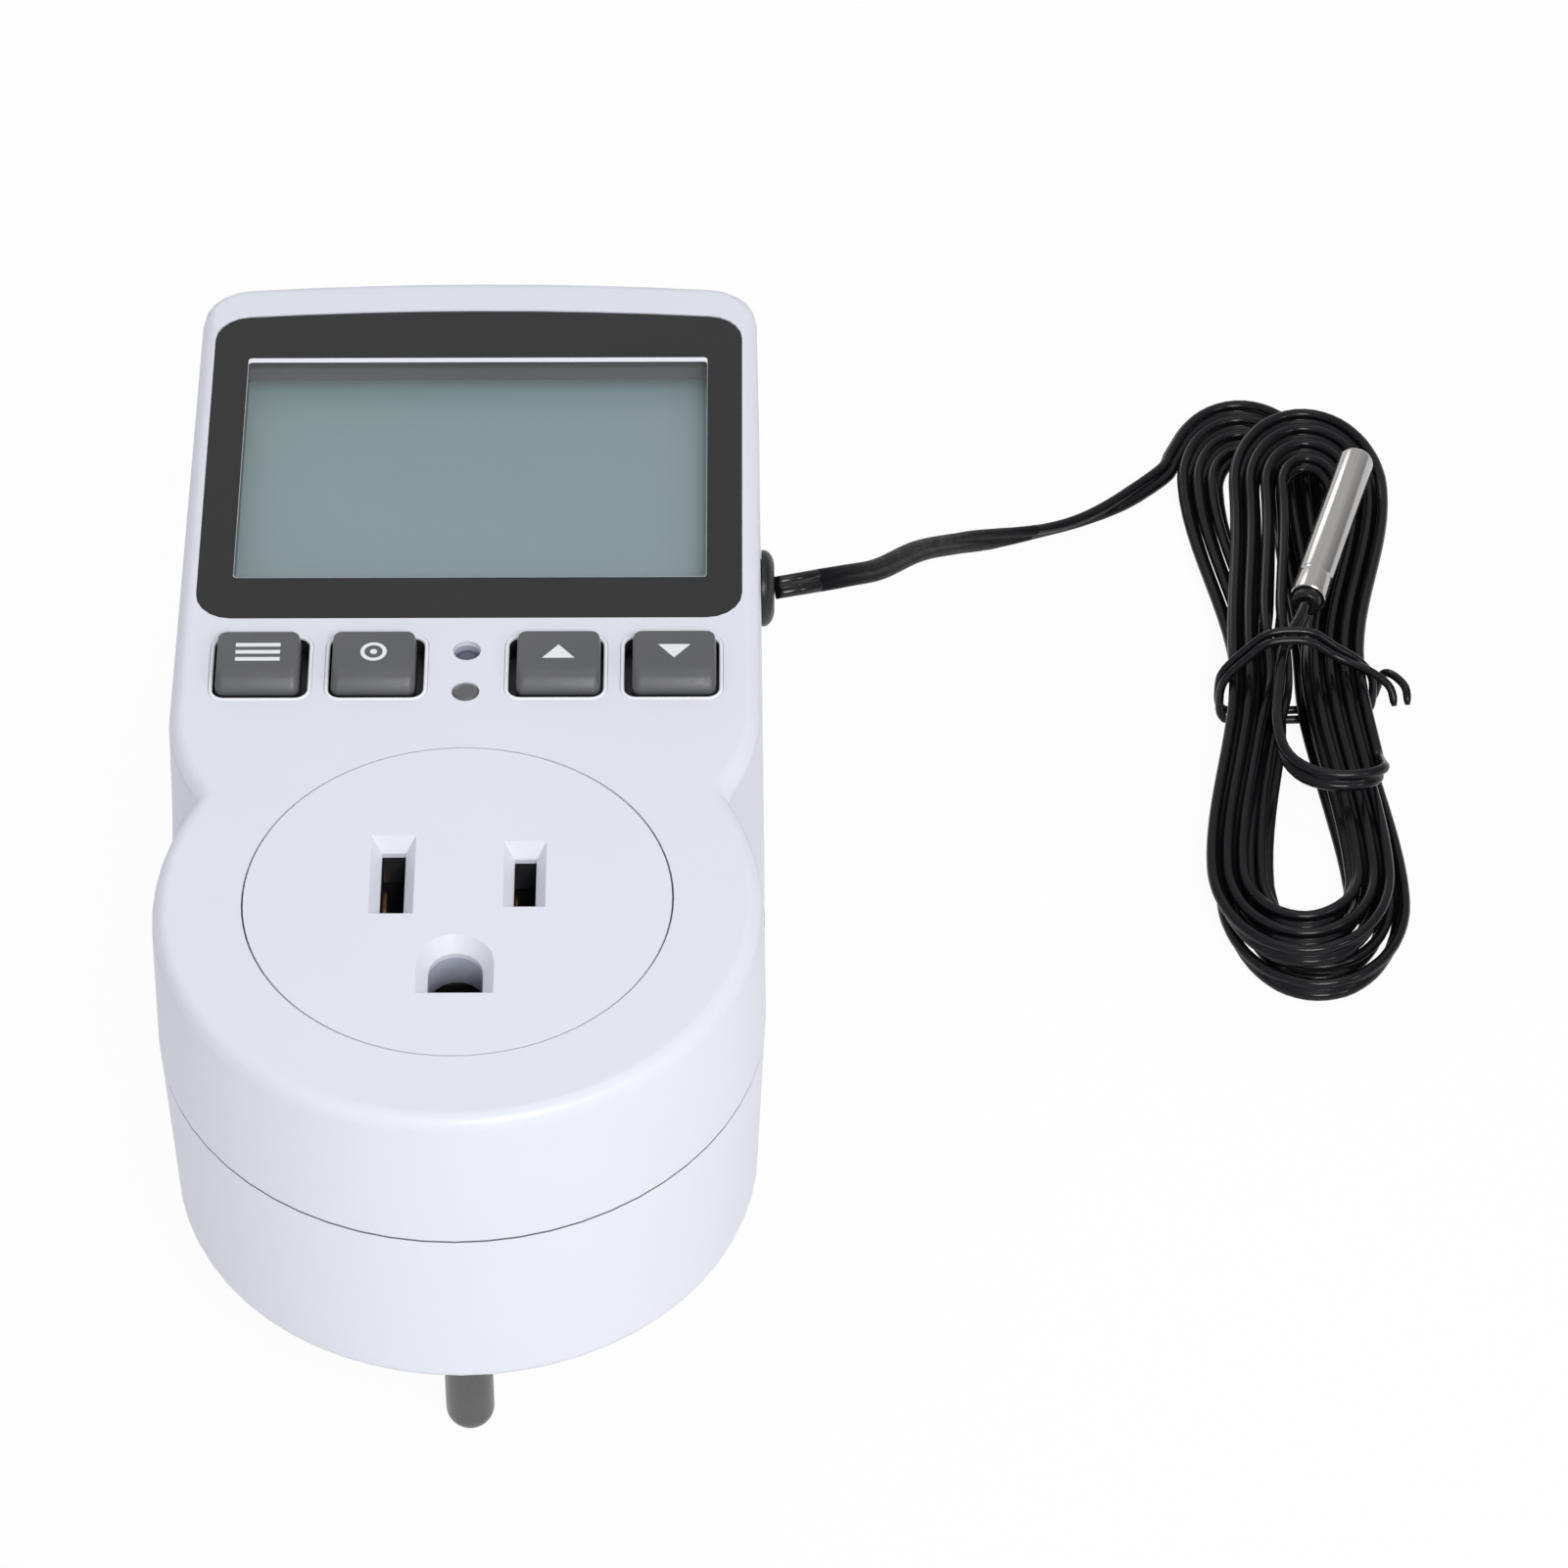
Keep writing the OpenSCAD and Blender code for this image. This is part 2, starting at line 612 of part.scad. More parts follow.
module front_shell() color("#e6e8f4") difference() {
  union() {
    difference() {
      trimmed(seam_z + shadow_gap, body_t) loft(concat(
        [front_ring(seam_z - over, 0)],
        [for (a = [0, 30, 60, 90]) front_ring(body_t - edge_r * (1 - sin(a)), edge_r * (1 - cos(a)))],
        [front_ring(body_t + over, edge_r)]));
      difference() {
        trimmed(seam_z - over, face_in_z)
          loft([front_ring(seam_z - 2 * over, wall), front_ring(body_t, wall)]);
        block([0, lens_y + lens_h / 2], [2 * drum_r, lens_h + 2 * over, wall], pad_z);
      }
      loft([for (z = [seam_z - over, seam_z + tongue_h]) front_ring(z, tongue_t - drop_gap)]);
    }
    for (p = housing_screw_places) rod(p, long_boss_r, post_top_z, face_in_z + wall / 2);
    for (x = [-ear_x, ear_x]) rod([x, 0], screw_boss_r, ear_z + ear_t, face_in_z + wall / 2);
    for (p = control_screw_places) rod(p, control_boss_r, control_top, face_in_z);
  }
  rod([0, 0], insert_r + insert_gap, face_in_z - over, body_t + over);
  translate([0, 0, lens_z]) linear_extrude(body_t) polygon(lens_outline(drop_gap));
  rounded_plate([0, view_mid_y], view_w + 2 * window_gap, view_h + 2 * window_gap,
    view_corner_r + window_gap, pad_z - over, lens_z + over);
  for (x = button_xs) {
    rounded_plate([x, button_y], button_w + 2 * button_hole_gap, button_h + 2 * button_hole_gap,
      button_hole_r, face_in_z - over, body_t + over);
    rounded_plate([x, button_y], button_w + 2 * button_hole_gap + 2 * rim_w,
      button_h + 2 * button_hole_gap + 2 * rim_w, button_hole_r + rim_w, body_t - rim_depth, body_t + over);
  }
  for (y = led_ys) {
    rod([0, y], led_hole_r, face_in_z - over, body_t + over);
    translate([0, y, body_t - led_bevel])
      cylinder(r1 = led_hole_r, r2 = led_hole_r + 2 * led_bevel, h = 2 * led_bevel);
  }
  for (p = housing_screw_places) rod(p, pilot_r, post_top_z - over, long_seat_z + long_bite + over);
  for (x = [-ear_x, ear_x]) rod([x, 0], pilot_r, ear_z, ear_z + short_bite + over);
  for (p = control_screw_places) rod(p, pilot_r, control_top - over, control_z + small_bite + over / 2);
  gland_hole();
}

module gland_hole() translate([gland_back_x, gland_y, seam_z]) rotate([0, 90, 0])
  cylinder(r = gland_neck_r + drop_gap, h = gland_out_x - gland_back_x + over);

module rear_shell() color("#e8eaf6") difference() {
  union() {
    trimmed(0, seam_z) loft(concat(
      [rear_ring(-over, rear_edge_r)],
      [for (a = [90, 60, 30, 0]) rear_ring(rear_edge_r * (1 - sin(a)), rear_edge_r * (1 - cos(a)))],
      [rear_ring(seam_z + over, 0)]));
    trimmed(seam_z - wall, seam_z + tongue_h - drop_gap)
      loft([rear_ring(seam_z - 2 * wall, tongue_t), front_ring(seam_z, tongue_t),
        front_ring(seam_z + wall, tongue_t)]);
  }
  difference() {
    trimmed(wall, seam_z + wall)
      loft([rear_ring(0, wall), front_ring(seam_z, wall), front_ring(seam_z + 2 * wall, wall)]);
    for (p = housing_screw_places) rod(p, long_post_r, 0, post_top_z);
    for (p = power_screw_places) rod(p, power_boss_r, 0, power_z);
    for (x = [-base_ear_x, base_ear_x]) rod([x, base_ear_y], screw_boss_r, 0, base_top - base_ear_t);
  }
  for (p = housing_screw_places) {
    rod(p, counterbore_r, -over, long_seat_z);
    rod(p, screw_hole_r, -over, post_top_z + over);
  }
  for (p = power_screw_places) rod(p, pilot_r, power_top - small_bite - over / 2, power_z + over);
  for (x = [-base_ear_x, base_ear_x]) rod([x, base_ear_y], pilot_r, wall, base_top);
  for (b = [[slot_x, line_w], [-slot_x, neutral_w]])
    block([b.x, plug_y], [blade_t + 2 * wall_fit, b.y + 2 * wall_fit, wall + 2 * over], -over);
  rod([0, pin_y], ground_r + wall_fit, -over, wall + over);
  gland_hole();
}

module display_lens() color("#dfe6ea", 0.35) translate([0, 0, lens_z]) linear_extrude(lens_t)
  polygon(lens_outline(0));

module lens_border() color("#35363a") translate([0, 0, film_z]) linear_extrude(film_t) difference() {
  polygon(lens_outline(0));
  translate([0, view_mid_y]) rounded(view_w, view_h, view_corner_r);
}

module lcd_panel() color("#87999a") {
  block([0, view_mid_y], [lcd_w, lcd_h, lcd_t * glass_share], lcd_z);
  block([0, view_mid_y], [lcd_w, lcd_h - 2 * glass_step, lcd_t * (1 - glass_share)],
    lcd_z + lcd_t * glass_share);
}

module lcd_holder() color("#f2f2f2") difference() {
  block([0, view_mid_y], [lcd_w + 2 * (holder_wall + holder_gap), lcd_h + 2 * (holder_wall + holder_gap),
    pad_z - holder_drop - control_top], control_top);
  block([0, view_mid_y], [lcd_w + 2 * holder_gap, lcd_h + 2 * holder_gap, pad_z], control_top - over);
}

module contact_strips() color("#c9b7b0") for (side = [-1, 1])
  block([0, view_mid_y + side * (lcd_h / 2 - strip_in)], [lcd_w - 2 * strip_end, strip_w, strip_h],
    control_top);

// A button: cap with a rounded crown that falls away most on the near side, a flange that keeps it in, and
// a post that meets the plunger of its switch
module button(x) color("#77797c") {
  loft(concat(
    [round_ring([x, button_y], button_w, button_h, button_corner_r, flange_z + flange_t / 2, round_steps)],
    [for (i = [0:crown_steps]) let (a = 90 * i / crown_steps, in = 1 - cos(a), up = sin(a))
      round_ring([x, button_y + (crown_near - crown_far) * in / 2], button_w - 2 * crown_side * in,
        button_h - (crown_near + crown_far) * in, button_corner_r, button_top_z - crown_near * (1 - up),
        round_steps)]));
  rounded_plate([x, button_y], button_w + 2 * flange_margin, button_h + 2 * flange_margin, button_hole_r,
    flange_z, flange_top_z);
  rod([x, button_y], post_r, post_z, flange_z + flange_t / 2);
}
module mode_button() button(button_xs[0]);
module set_button() button(button_xs[1]);
module up_button() button(button_xs[2]);
module down_button() button(button_xs[3]);

module plunger(x) color("#202124") rod([x, button_y], plunger_r, plunger_bottom, post_z);
module mode_plunger() plunger(button_xs[0]);
module set_plunger() plunger(button_xs[1]);
module up_plunger() plunger(button_xs[2]);
module down_plunger() plunger(button_xs[3]);

module switch_bodies() color("#2b2c30") for (x = button_xs) difference() {
  block([x, button_y], [switch_size, switch_size, switch_h], control_top);
  rod([x, button_y], plunger_hole_r, plunger_bottom - button_travel - slide_gap,
    control_top + switch_h + over);
}

module led(y) {
  rod([0, y], led_flange_r, control_top, control_top + led_flange_t);
  rod([0, y], led_r, control_top + led_flange_t / 2, led_dome_z);
  translate([0, y, led_dome_z]) sphere(r = led_r);
}
module lower_led() color("#b9bec4") led(led_ys[0]);
module upper_led() color("#b9bec4") led(led_ys[1]);

module slot_cut(place, size) {
  block(place, [size.x, size.y, body_t], pocket_top - over);
  loft([box_ring(place, size.x, size.y, body_t - flare_depth),
    box_ring(place, size.x + slot_flare, size.y + slot_flare, body_t),
    box_ring(place, size.x + slot_flare, size.y + slot_flare, body_t + over)]);
  block(place, [pocket_line.x, pocket_line.y, pocket_top - barrel_z + over], barrel_z - over);
}

module socket_insert() color("#e4e6f2") difference() {
  union() {
    rod([0, 0], insert_r, face_in_z - over, body_t);
    rod([0, 0], insert_flange_r, face_in_z - insert_flange_t, face_in_z);
    rod([0, barrel_y / 2], barrel_r, barrel_z, face_in_z - over);
    for (side = [-1, 1]) {
      block([side * (barrel_r + ear_x) / 2, 0], [ear_x - barrel_r + ear_w, ear_w, ear_t], ear_z);
      rod([side * ear_x, 0], ear_w / 2, ear_z, ear_z + ear_t);
    }
  }
  slot_cut(line_place, line_slot);
  slot_cut(neutral_place, neutral_slot);
  loft([arch_ring(ground_place, ground_slot.x, ground_slot.y, pocket_top - over),
    arch_ring(ground_place, ground_slot.x, ground_slot.y, body_t - flare_depth),
    arch_ring(ground_place, ground_slot.x + ground_flare, ground_slot.y + ground_flare, body_t),
    arch_ring(ground_place, ground_slot.x + ground_flare, ground_slot.y + ground_flare, body_t + over)]);
  block(ground_place, [pocket_ground.x, pocket_ground.y, pocket_top - barrel_z + over], barrel_z - over);
  for (x = [-ear_x, ear_x]) rod([x, 0], screw_hole_r, ear_z - over, ear_z + ear_t + over);
}

// Spring clip: a folded strip, drawn in below its mouth, as wide as w along Y
module clip(place, gap, pinch, w) translate([place.x, place.y + w / 2, clip_z]) rotate([90, 0, 0])
  linear_extrude(w) {
    half = gap / 2 + clip_t;
    knee = clip_h * clip_pinch_share;
    for (side = [-1, 1]) polygon([[side * half, 0], [side * half, clip_t], [side * (half - pinch), knee],
      [side * half, clip_h], [side * gap / 2, clip_h], [side * (gap / 2 - pinch), knee],
      [side * gap / 2, clip_t], [0, clip_t], [0, 0]]);
  }

// Foot of a clip: a strip down from the clip's near edge and out over the head of the plug's pin
module foot(place, w, target_y) translate([place.x - foot_w / 2, 0, 0]) {
  edge = place.y - w / 2;
  translate([0, edge - foot_t, head_top]) cube([foot_w, foot_t, clip_z + clip_t - head_top]);
  translate([0, edge - foot_t / 2, clip_z]) cube([foot_w, foot_t, clip_t]);
  translate([0, target_y - foot_w / 2, head_top]) cube([foot_w, edge - target_y + foot_w / 2, foot_t]);
}

module line_contact() color("#c79a4b") {
  clip(line_place, clip_gap, clip_pinch, clip_w);
  translate([slot_x - foot_w / 2, slot_y + clip_w / 2 - foot_t, clip_z - tab_drop])
    cube([foot_w, foot_t, tab_drop + clip_t / 2]);
}
module neutral_contact() color("#c79a4b") {
  clip(neutral_place, clip_gap, clip_pinch, clip_w);
  foot(neutral_place, clip_w, plug_y);
}
module ground_contact() color("#c79a4b") {
  clip(ground_place, ground_clip_gap, ground_pinch, ground_clip_w);
  foot(ground_place, ground_clip_w, pin_y);
}

// Base of the plug: a plate kept inside the round wall and clear of the posts, with an ear on each side
module plug_base() color("#dcdee8") difference() {
  union() {
    intersection() {
      rounded_plate([0, (plug_y + pin_y) / 2], base_w, ground_drop + 2 * base_margin, base_corner_r,
        base_z, base_top);
      rod([0, 0], drum_r - wall - base_wall_gap, base_z, base_top);
    }
    for (side = [-1, 1]) {
      block([side * (base_w / 2 + base_ear_x) / 2, base_ear_y],
        [base_ear_x, 2 * base_ear_r, base_ear_t], base_top - base_ear_t);
      rod([side * base_ear_x, base_ear_y], base_ear_r, base_top - base_ear_t, base_top);
    }
  }
  for (b = [[slot_x, line_w], [-slot_x, neutral_w]])
    block([b.x, plug_y], [blade_t + 2 * blade_fit, b.y + 2 * blade_fit, base_t + 2 * over], base_z - over);
  rod([0, pin_y], pin_shank_r + blade_fit, base_z - over, base_top + over);
  for (x = [-ring_screw.x, ring_screw.x])
    rod([x, ring_screw.y], long_post_r + slide_gap, base_z - over, base_top + over);
  for (x = [-base_ear_x, base_ear_x]) rod([x, base_ear_y], screw_hole_r, base_z, base_top + over);
}

module blade(x, w) color("#b9b7b2") difference() {
  union() {
    translate([x - blade_t / 2, plug_y, 0]) rotate([90, 0, 90]) linear_extrude(blade_t)
      polygon([[-w / 2, base_top], [w / 2, base_top], [w / 2, tip_in - blade_len],
        [w / 2 - tip_in, -blade_len], [tip_in - w / 2, -blade_len], [-w / 2, tip_in - blade_len]]);
    block([x, plug_y], [blade_head.x, w + blade_head.y, head_t], base_top);
  }
  translate([x, plug_y, -blade_hole_drop]) rotate([0, 90, 0])
    cylinder(r = blade_hole_r, h = blade_t + 2 * over, center = true);
}
module line_blade() blade(slot_x, line_w);
module neutral_blade() blade(-slot_x, neutral_w);

// The ground pin: full size outside, with a thinner shank through the wall and the plug's base to its head
module ground_pin() color("#a9a7a3") {
  rod([0, pin_y], ground_r, ground_r - ground_len, 0);
  rod([0, pin_y], pin_shank_r, -over, base_top + head_t / 2);
  translate([0, pin_y, ground_r - ground_len]) sphere(r = ground_r);
  rod([0, pin_y], pin_head_r, base_top, head_top);
}

// Board with its two far corners cut away round the long screw bosses
module board(half_w, low_y, z, boss_r) difference() {
  block([0, (low_y + board_top_y) / 2], [2 * half_w, board_top_y - low_y, board_t], z);
  for (side = [-1, 1]) translate([side * top_screw.x, top_screw.y, z - over]) {
    reach = boss_r + corner_gap;
    translate([side < 0 ? -half_w : -reach, -reach, 0]) cube([half_w + reach, half_w, board_t + 2 * over]);
  }
}
module control_board() color("#3f7d52") difference() {
  board(control_edge_x, control_y, control_z, long_boss_r);
  for (p = control_screw_places) rod(p, screw_hole_r, control_z - over, control_top + over);
}
module power_board() color("#b08a4e") difference() {
  board(power_edge_x, power_y, power_z, long_post_r);
  for (p = power_screw_places) rod(p, screw_hole_r, power_z - over, power_top + over);
}

module control_chip() color("#222326") block(chip_place, chip_size, control_z - chip_size.z);
module relay() color("#2f5fa8") block(relay_place, relay_size, power_top);
module film_capacitor() color("#c9a227") block(film_place, film_size, power_top);
module fuse() color("#3a3b3f") rounded_plate(fuse_place, fuse_size.x, fuse_size.y, fuse_corner_r,
  power_top, power_top + fuse_size.z);
module bridge_rectifier() color("#2a2a2e") block(rectifier_place, rectifier_size, power_top);

module electrolytic_capacitor() color("#2b3350") translate([can_place.x, can_place.y, power_top])
  rotate_extrude() polygon([[0, 0], [can_r - can_edge, 0], [can_r, can_edge],
    [can_r, can_groove_z - can_groove], [can_r - can_groove, can_groove_z],
    [can_r, can_groove_z + can_groove], [can_r, can_h - can_edge], [can_r - can_edge, can_h], [0, can_h]]);

module varistor() color("#3465a4") {
  translate([disc_place.x, disc_place.y + disc_t / 2, power_top + disc_lift + disc_r]) rotate([90, 0, 0])
    cylinder(r = disc_r, h = disc_t);
  for (side = [-1, 1]) rod([disc_place.x + side * lead_pitch / 2, disc_place.y], lead_r,
    power_top, power_top + disc_lift + disc_r);
}

module board_link() color("#26272b") {
  for (z = [power_top, control_z - link_block])
    block(link_place, [link_size.x, link_size.y, link_block], z);
  for (i = [0:link_count - 1]) {
    y = link_place.y + link_size.y * ((i + 1 / 2) / link_count - 1 / 2);
    block([link_place.x, y], [link_pin, link_pin, control_z - power_top], power_top);
  }
}

module lead_connector() color("#e9e6dc")
  block(connector_place, connector_size, control_z - connector_size.z);

// Mains wires: straight legs with rounded corners, down onto the power board at their far ends
function rounded_route(p, reach, n) = concat([p[0]],
  [for (i = [1:len(p) - 2]) let (
    a = p[i] - reach * (p[i] - p[i - 1]) / norm(p[i] - p[i - 1]),
    b = p[i] + reach * (p[i + 1] - p[i]) / norm(p[i + 1] - p[i]))
    for (k = [0:n]) let (t = k / n) (1 - t) * (1 - t) * a + 2 * t * (1 - t) * p[i] + t * t * b],
  [p[len(p) - 1]]);
module wire(path)
  tube(rounded_route(path, wire_bend, wire_cuts), 2 * wire_r, 2 * wire_r, wire_sides, 0, wire_ref);
function landing(x) = [[x, landing_y, run_z], [x, landing_y, power_top + join_gap]];
module line_wire() color("#22252b") wire(concat(
  [[slot_x, plug_y - line_w / 4, head_top + join_gap], [slot_x, plug_y - line_w / 4, run_z],
    [slot_x + side_run, plug_y + side_run_y, run_z]], landing(slot_x + side_run)));
module load_wire() color("#8f2f2a") wire(concat(
  [[slot_x, slot_y + clip_w / 2 + join_gap, clip_z - tab_drop + tab_lift],
    [slot_x, slot_y + clip_w / 2 + load_run, clip_z - tab_drop + tab_lift],
    [load_run_x, slot_y + clip_w / 2 + load_turn, run_z]], landing(load_run_x)));
module neutral_wire() color("#dcdcd6") wire(concat(
  [[-slot_x, plug_y, head_top + foot_t + join_gap], [-slot_x, plug_y, run_z],
    [-slot_x - side_run, plug_y + side_run_y, run_z]], landing(-slot_x - side_run)));

module housing_screws() color("#8d8f93") for (p = housing_screw_places) screw(p, long_seat_z, long_bite);
module insert_screws() color("#8d8f93") for (x = [-ear_x, ear_x]) screw([x, 0], ear_z, short_bite);
module plug_base_screws() color("#8d8f93") for (x = [-base_ear_x, base_ear_x])
  screw([x, base_ear_y], base_top, small_bite, true);
module control_board_screws() color("#8d8f93") for (p = control_screw_places)
  screw(p, control_z, small_bite);
module power_board_screws() color("#8d8f93") for (p = power_screw_places)
  screw(p, power_top, small_bite, true);

// Gland: head outside the wall, neck in its hole, and a flange inside, turned about the cord's exit
module probe_gland() color("#1b1b1d") translate([gland_back_x, gland_y, seam_z]) rotate([0, 90, 0]) {
  neck_to = gland_x - gland_back_x;
  head_to = gland_out_x - gland_back_x;
  difference() {
    rotate_extrude() polygon([[0, 0], [gland_back_r, 0], [gland_back_r, gland_back_t],
      [gland_neck_r, gland_back_t], [gland_neck_r, neck_to], [gland_head_r, neck_to],
      [gland_head_r, head_to - gland_round], [gland_head_r - gland_round, head_to], [0, head_to]]);
    block([0, 0], [cord_w + 2 * drop_gap, cord_t + 2 * drop_gap, head_to + 2 * over], -over);
  }
}

connector_near = connector_place.y - connector_size.y / 2;
connector_mid_z = control_z - connector_size.z / 2;
inner_route = [[gland_back_x, gland_y, seam_z], [gland_back_x - cord_w, gland_y, seam_z],
  [connector_place.x + cord_w, connector_near - 2 * cord_w, seam_z + cord_w],
  [connector_place.x, connector_near - cord_w, connector_mid_z],
  [connector_place.x, connector_near - join_gap, connector_mid_z]];
module inner_lead() color("#1c1c1e") cord(concat([[gland_out_x - join_gap, gland_y, seam_z]],
  smooth(inner_route, cord_cuts)));

// Hank: how far in the tube has spiralled at ring n, in loops, and its place there
function turned_in(n) = min(n - start_ring, end_ring - n) / loop_rings;
function ease(s) = let (c = min(max(s, 0), 1)) c * c * (3 - 2 * c);
function climbed(n) = ease((n - half_ring) / climb_rings + 1 / 2);
function hank_point(n) = let (
  i = n % loop_rings,
  far = i < loop_rings / 2,
  j = far ? i : i - loop_rings / 2,
  left = far ? -1 : 1,
  level = climbed(n),
  lean = far ? ear_lean * (2 * level - 1) : lobe_lean * (1 - 2 * level),
  half = (far ? ear_half : lobe_half) - turned_in(n) * loop_step,
  waist_now = waist_half - turned_in(n) * loop_step,
  crown = (far ? far_crown : near_crown) - turned_in(n) * crown_step,
  run = far ? far_len - far_less * level - far_crown : near_len - near_less * level - near_crown,
  fold = (j - run_rings) / fold_rings,
  s = fold < 0 ? j / run_rings : fold > 1 ? (loop_rings / 2 - j) / run_rings : 1,
  side = fold < 0 ? left : fold > 1 ? -left : left * cos(180 * fold),
  x = side * (waist_now + (half - waist_now) * ease(s)) + lean * ease(s),
  y = run * s + (fold > 0 && fold < 1 ? crown * sin(180 * fold) : 0),
  z = low_z + waist_lift * (1 - ease(s)) + layer_step * level)
  [hank_x + x, hank_y + (far ? y : -y), z];
hank_mid = [for (n = [start_ring:end_ring]) hank_point(n)];
hank_start_dir = along(hank_mid, 0);
hank_end_dir = along(hank_mid, len(hank_mid) - 1);
hank_path = concat([hank_mid[0] - cord_w * hank_start_dir], hank_mid,
  [hank_mid[len(hank_mid) - 1] + cord_w * hank_end_dir]);
hank_last = len(hank_path) - 1;

// Least gap of the hank to itself, measured between points round its rings and halfway along their edges
hank_rings = [for (i = [0:hank_last])
  tube_ring(hank_path[i], along(hank_path, i), cord_t, cord_w, hank_sides, hank_phase, upright)];
function with_middles(ring) = concat(ring,
  [for (i = [0:hank_sides - 1]) (ring[i] + ring[(i + 1) % hank_sides]) / 2]);
module measure_hank() {
  rings = [for (ring = hank_rings) with_middles(ring)];
  gaps = [for (i = [0:hank_last]) for (k = [i + loop_rings / 2:hank_last])
    if (norm(hank_path[i] - hank_path[k]) < 2 * cord_w)
      min([for (a = rings[i]) for (b = rings[k]) norm(a - b)])];
  echo(least_gap_in_hank = min(gaps), shown_least = strand_gap_shown);
}

module lead_hank() {
  measure_hank();
  color("#17181a") loft(hank_rings);
}

lead_path = concat([[gland_out_x, gland_y, seam_z]], lead_route,
  [hank_path[0] - cord_w * hank_start_dir, hank_path[0] - join_gap * hank_start_dir]);
module probe_lead() color("#17181a") cord(smooth(lead_path, cord_cuts));

probe_dir = (probe_end - probe_start) / norm(probe_end - probe_start);
tail_path = concat(
  [for (d = [join_gap, cord_t]) hank_path[hank_last] + d * hank_end_dir], tail_route,
  [for (d = [cord_w, join_gap]) probe_start - (seal_len + d) * probe_dir]);
module probe_tail() color("#17181a") cord(smooth(tail_path, cord_cuts));

module hank_tie() color("#141415")
  tube(smooth(tie_route, tie_cuts), 2 * tie_r, 2 * tie_r, tie_sides, 0, tie_ref);

// The probe lies along its own line: its forms are turned from +Z onto that line
module on_probe() translate(probe_start)
  rotate([0, acos(probe_dir.z), atan2(probe_dir.y, probe_dir.x)]) children();
module probe_sleeve() color("#c8c6c0") on_probe() rotate_extrude() difference() {
  polygon([[0, 0], [probe_r, 0], [probe_r, crimp_from], [probe_r - crimp_in, crimp_from + crimp_w / 2],
    [probe_r, crimp_from + crimp_w], [probe_r, probe_len - probe_r / 2], [probe_r / 2, probe_len],
    [0, probe_len]]);
  translate([-over, -over]) square([sleeve_bore_r + over, probe_len - sleeve_floor + over]);
}
module probe_seal() color("#101012") on_probe() translate([0, 0, -seal_len])
  cylinder(r = sleeve_bore_r, h = seal_len + crimp_from);

front_shell();
rear_shell();
display_lens();
lens_border();
lcd_panel();
lcd_holder();
contact_strips();
mode_button();
set_button();
up_button();
down_button();
mode_plunger();
set_plunger();
up_plunger();
down_plunger();
switch_bodies();
upper_led();
lower_led();
socket_insert();
line_contact();
neutral_contact();
ground_contact();
plug_base();
line_blade();
neutral_blade();
ground_pin();
control_board();
control_chip();
power_board();
board_link();
relay();
film_capacitor();
electrolytic_capacitor();
varistor();
fuse();
bridge_rectifier();
line_wire();
load_wire();
neutral_wire();
housing_screws();
insert_screws();
plug_base_screws();
control_board_screws();
power_board_screws();
probe_gland();
inner_lead();
lead_connector();
probe_lead();
lead_hank();
probe_tail();
hank_tie();
probe_sleeve();
probe_seal();
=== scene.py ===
# Plug in temperature controller: the looks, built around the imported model. Lengths are in mm, times mm.
import math

import bmesh
import bpy
from mathutils import Matrix, Vector


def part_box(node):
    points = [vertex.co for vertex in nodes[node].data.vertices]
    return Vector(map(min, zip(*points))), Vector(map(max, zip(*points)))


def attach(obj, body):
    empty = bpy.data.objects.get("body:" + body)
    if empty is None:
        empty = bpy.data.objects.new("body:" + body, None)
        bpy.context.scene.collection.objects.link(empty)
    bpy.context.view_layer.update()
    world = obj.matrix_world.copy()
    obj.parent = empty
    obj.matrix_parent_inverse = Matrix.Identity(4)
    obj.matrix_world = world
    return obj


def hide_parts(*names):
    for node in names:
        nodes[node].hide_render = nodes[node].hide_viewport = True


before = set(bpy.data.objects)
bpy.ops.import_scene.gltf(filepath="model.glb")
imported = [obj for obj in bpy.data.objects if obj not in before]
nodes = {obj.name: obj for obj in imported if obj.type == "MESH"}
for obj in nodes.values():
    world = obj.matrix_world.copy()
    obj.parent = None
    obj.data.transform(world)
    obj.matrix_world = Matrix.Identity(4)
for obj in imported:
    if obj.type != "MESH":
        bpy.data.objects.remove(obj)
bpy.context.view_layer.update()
mm = 0.001
upward = Vector((0, 0, 1))


# The camera stands where the photographer stood. It was fitted to points of the socket, window and lamp holes.
view = {"target": (31.2437, 15.4129, 37.2), "azimuth": -0.2907, "elevation": 44.6573, "roll": 0.0524,
        "distance": 710.96, "lens": 168.3, "sensor": 36}


def placeCamera():
    azimuth, elevation, roll = (math.radians(view[key]) for key in ("azimuth", "elevation", "roll"))
    back = Vector((math.sin(azimuth) * math.cos(elevation), -math.cos(azimuth) * math.cos(elevation),
                   math.sin(elevation)))
    camera = bpy.data.objects.new("camera", bpy.data.cameras.new("camera"))
    camera.data.lens = view["lens"]
    camera.data.sensor_width = view["sensor"]
    camera.data.clip_start = 0.01
    turn = back.to_track_quat("Z", "Y").to_matrix() @ Matrix.Rotation(roll, 3, "Z")
    place = (Vector(view["target"]) + back * view["distance"]) * mm
    camera.matrix_world = Matrix.Translation(place) @ turn.to_4x4()
    bpy.context.scene.collection.objects.link(camera)
    bpy.context.scene.camera = camera


placeCamera()
print("camera placed")


# Materials: small helpers first, then one function for each kind of finish
def startMaterial(name):
    material = bpy.data.materials.new(name)
    material.use_nodes = True
    tree = material.node_tree
    place = tree.nodes.new("ShaderNodeTexCoord").outputs["Object"]
    return material, tree, tree.nodes["Principled BSDF"], place


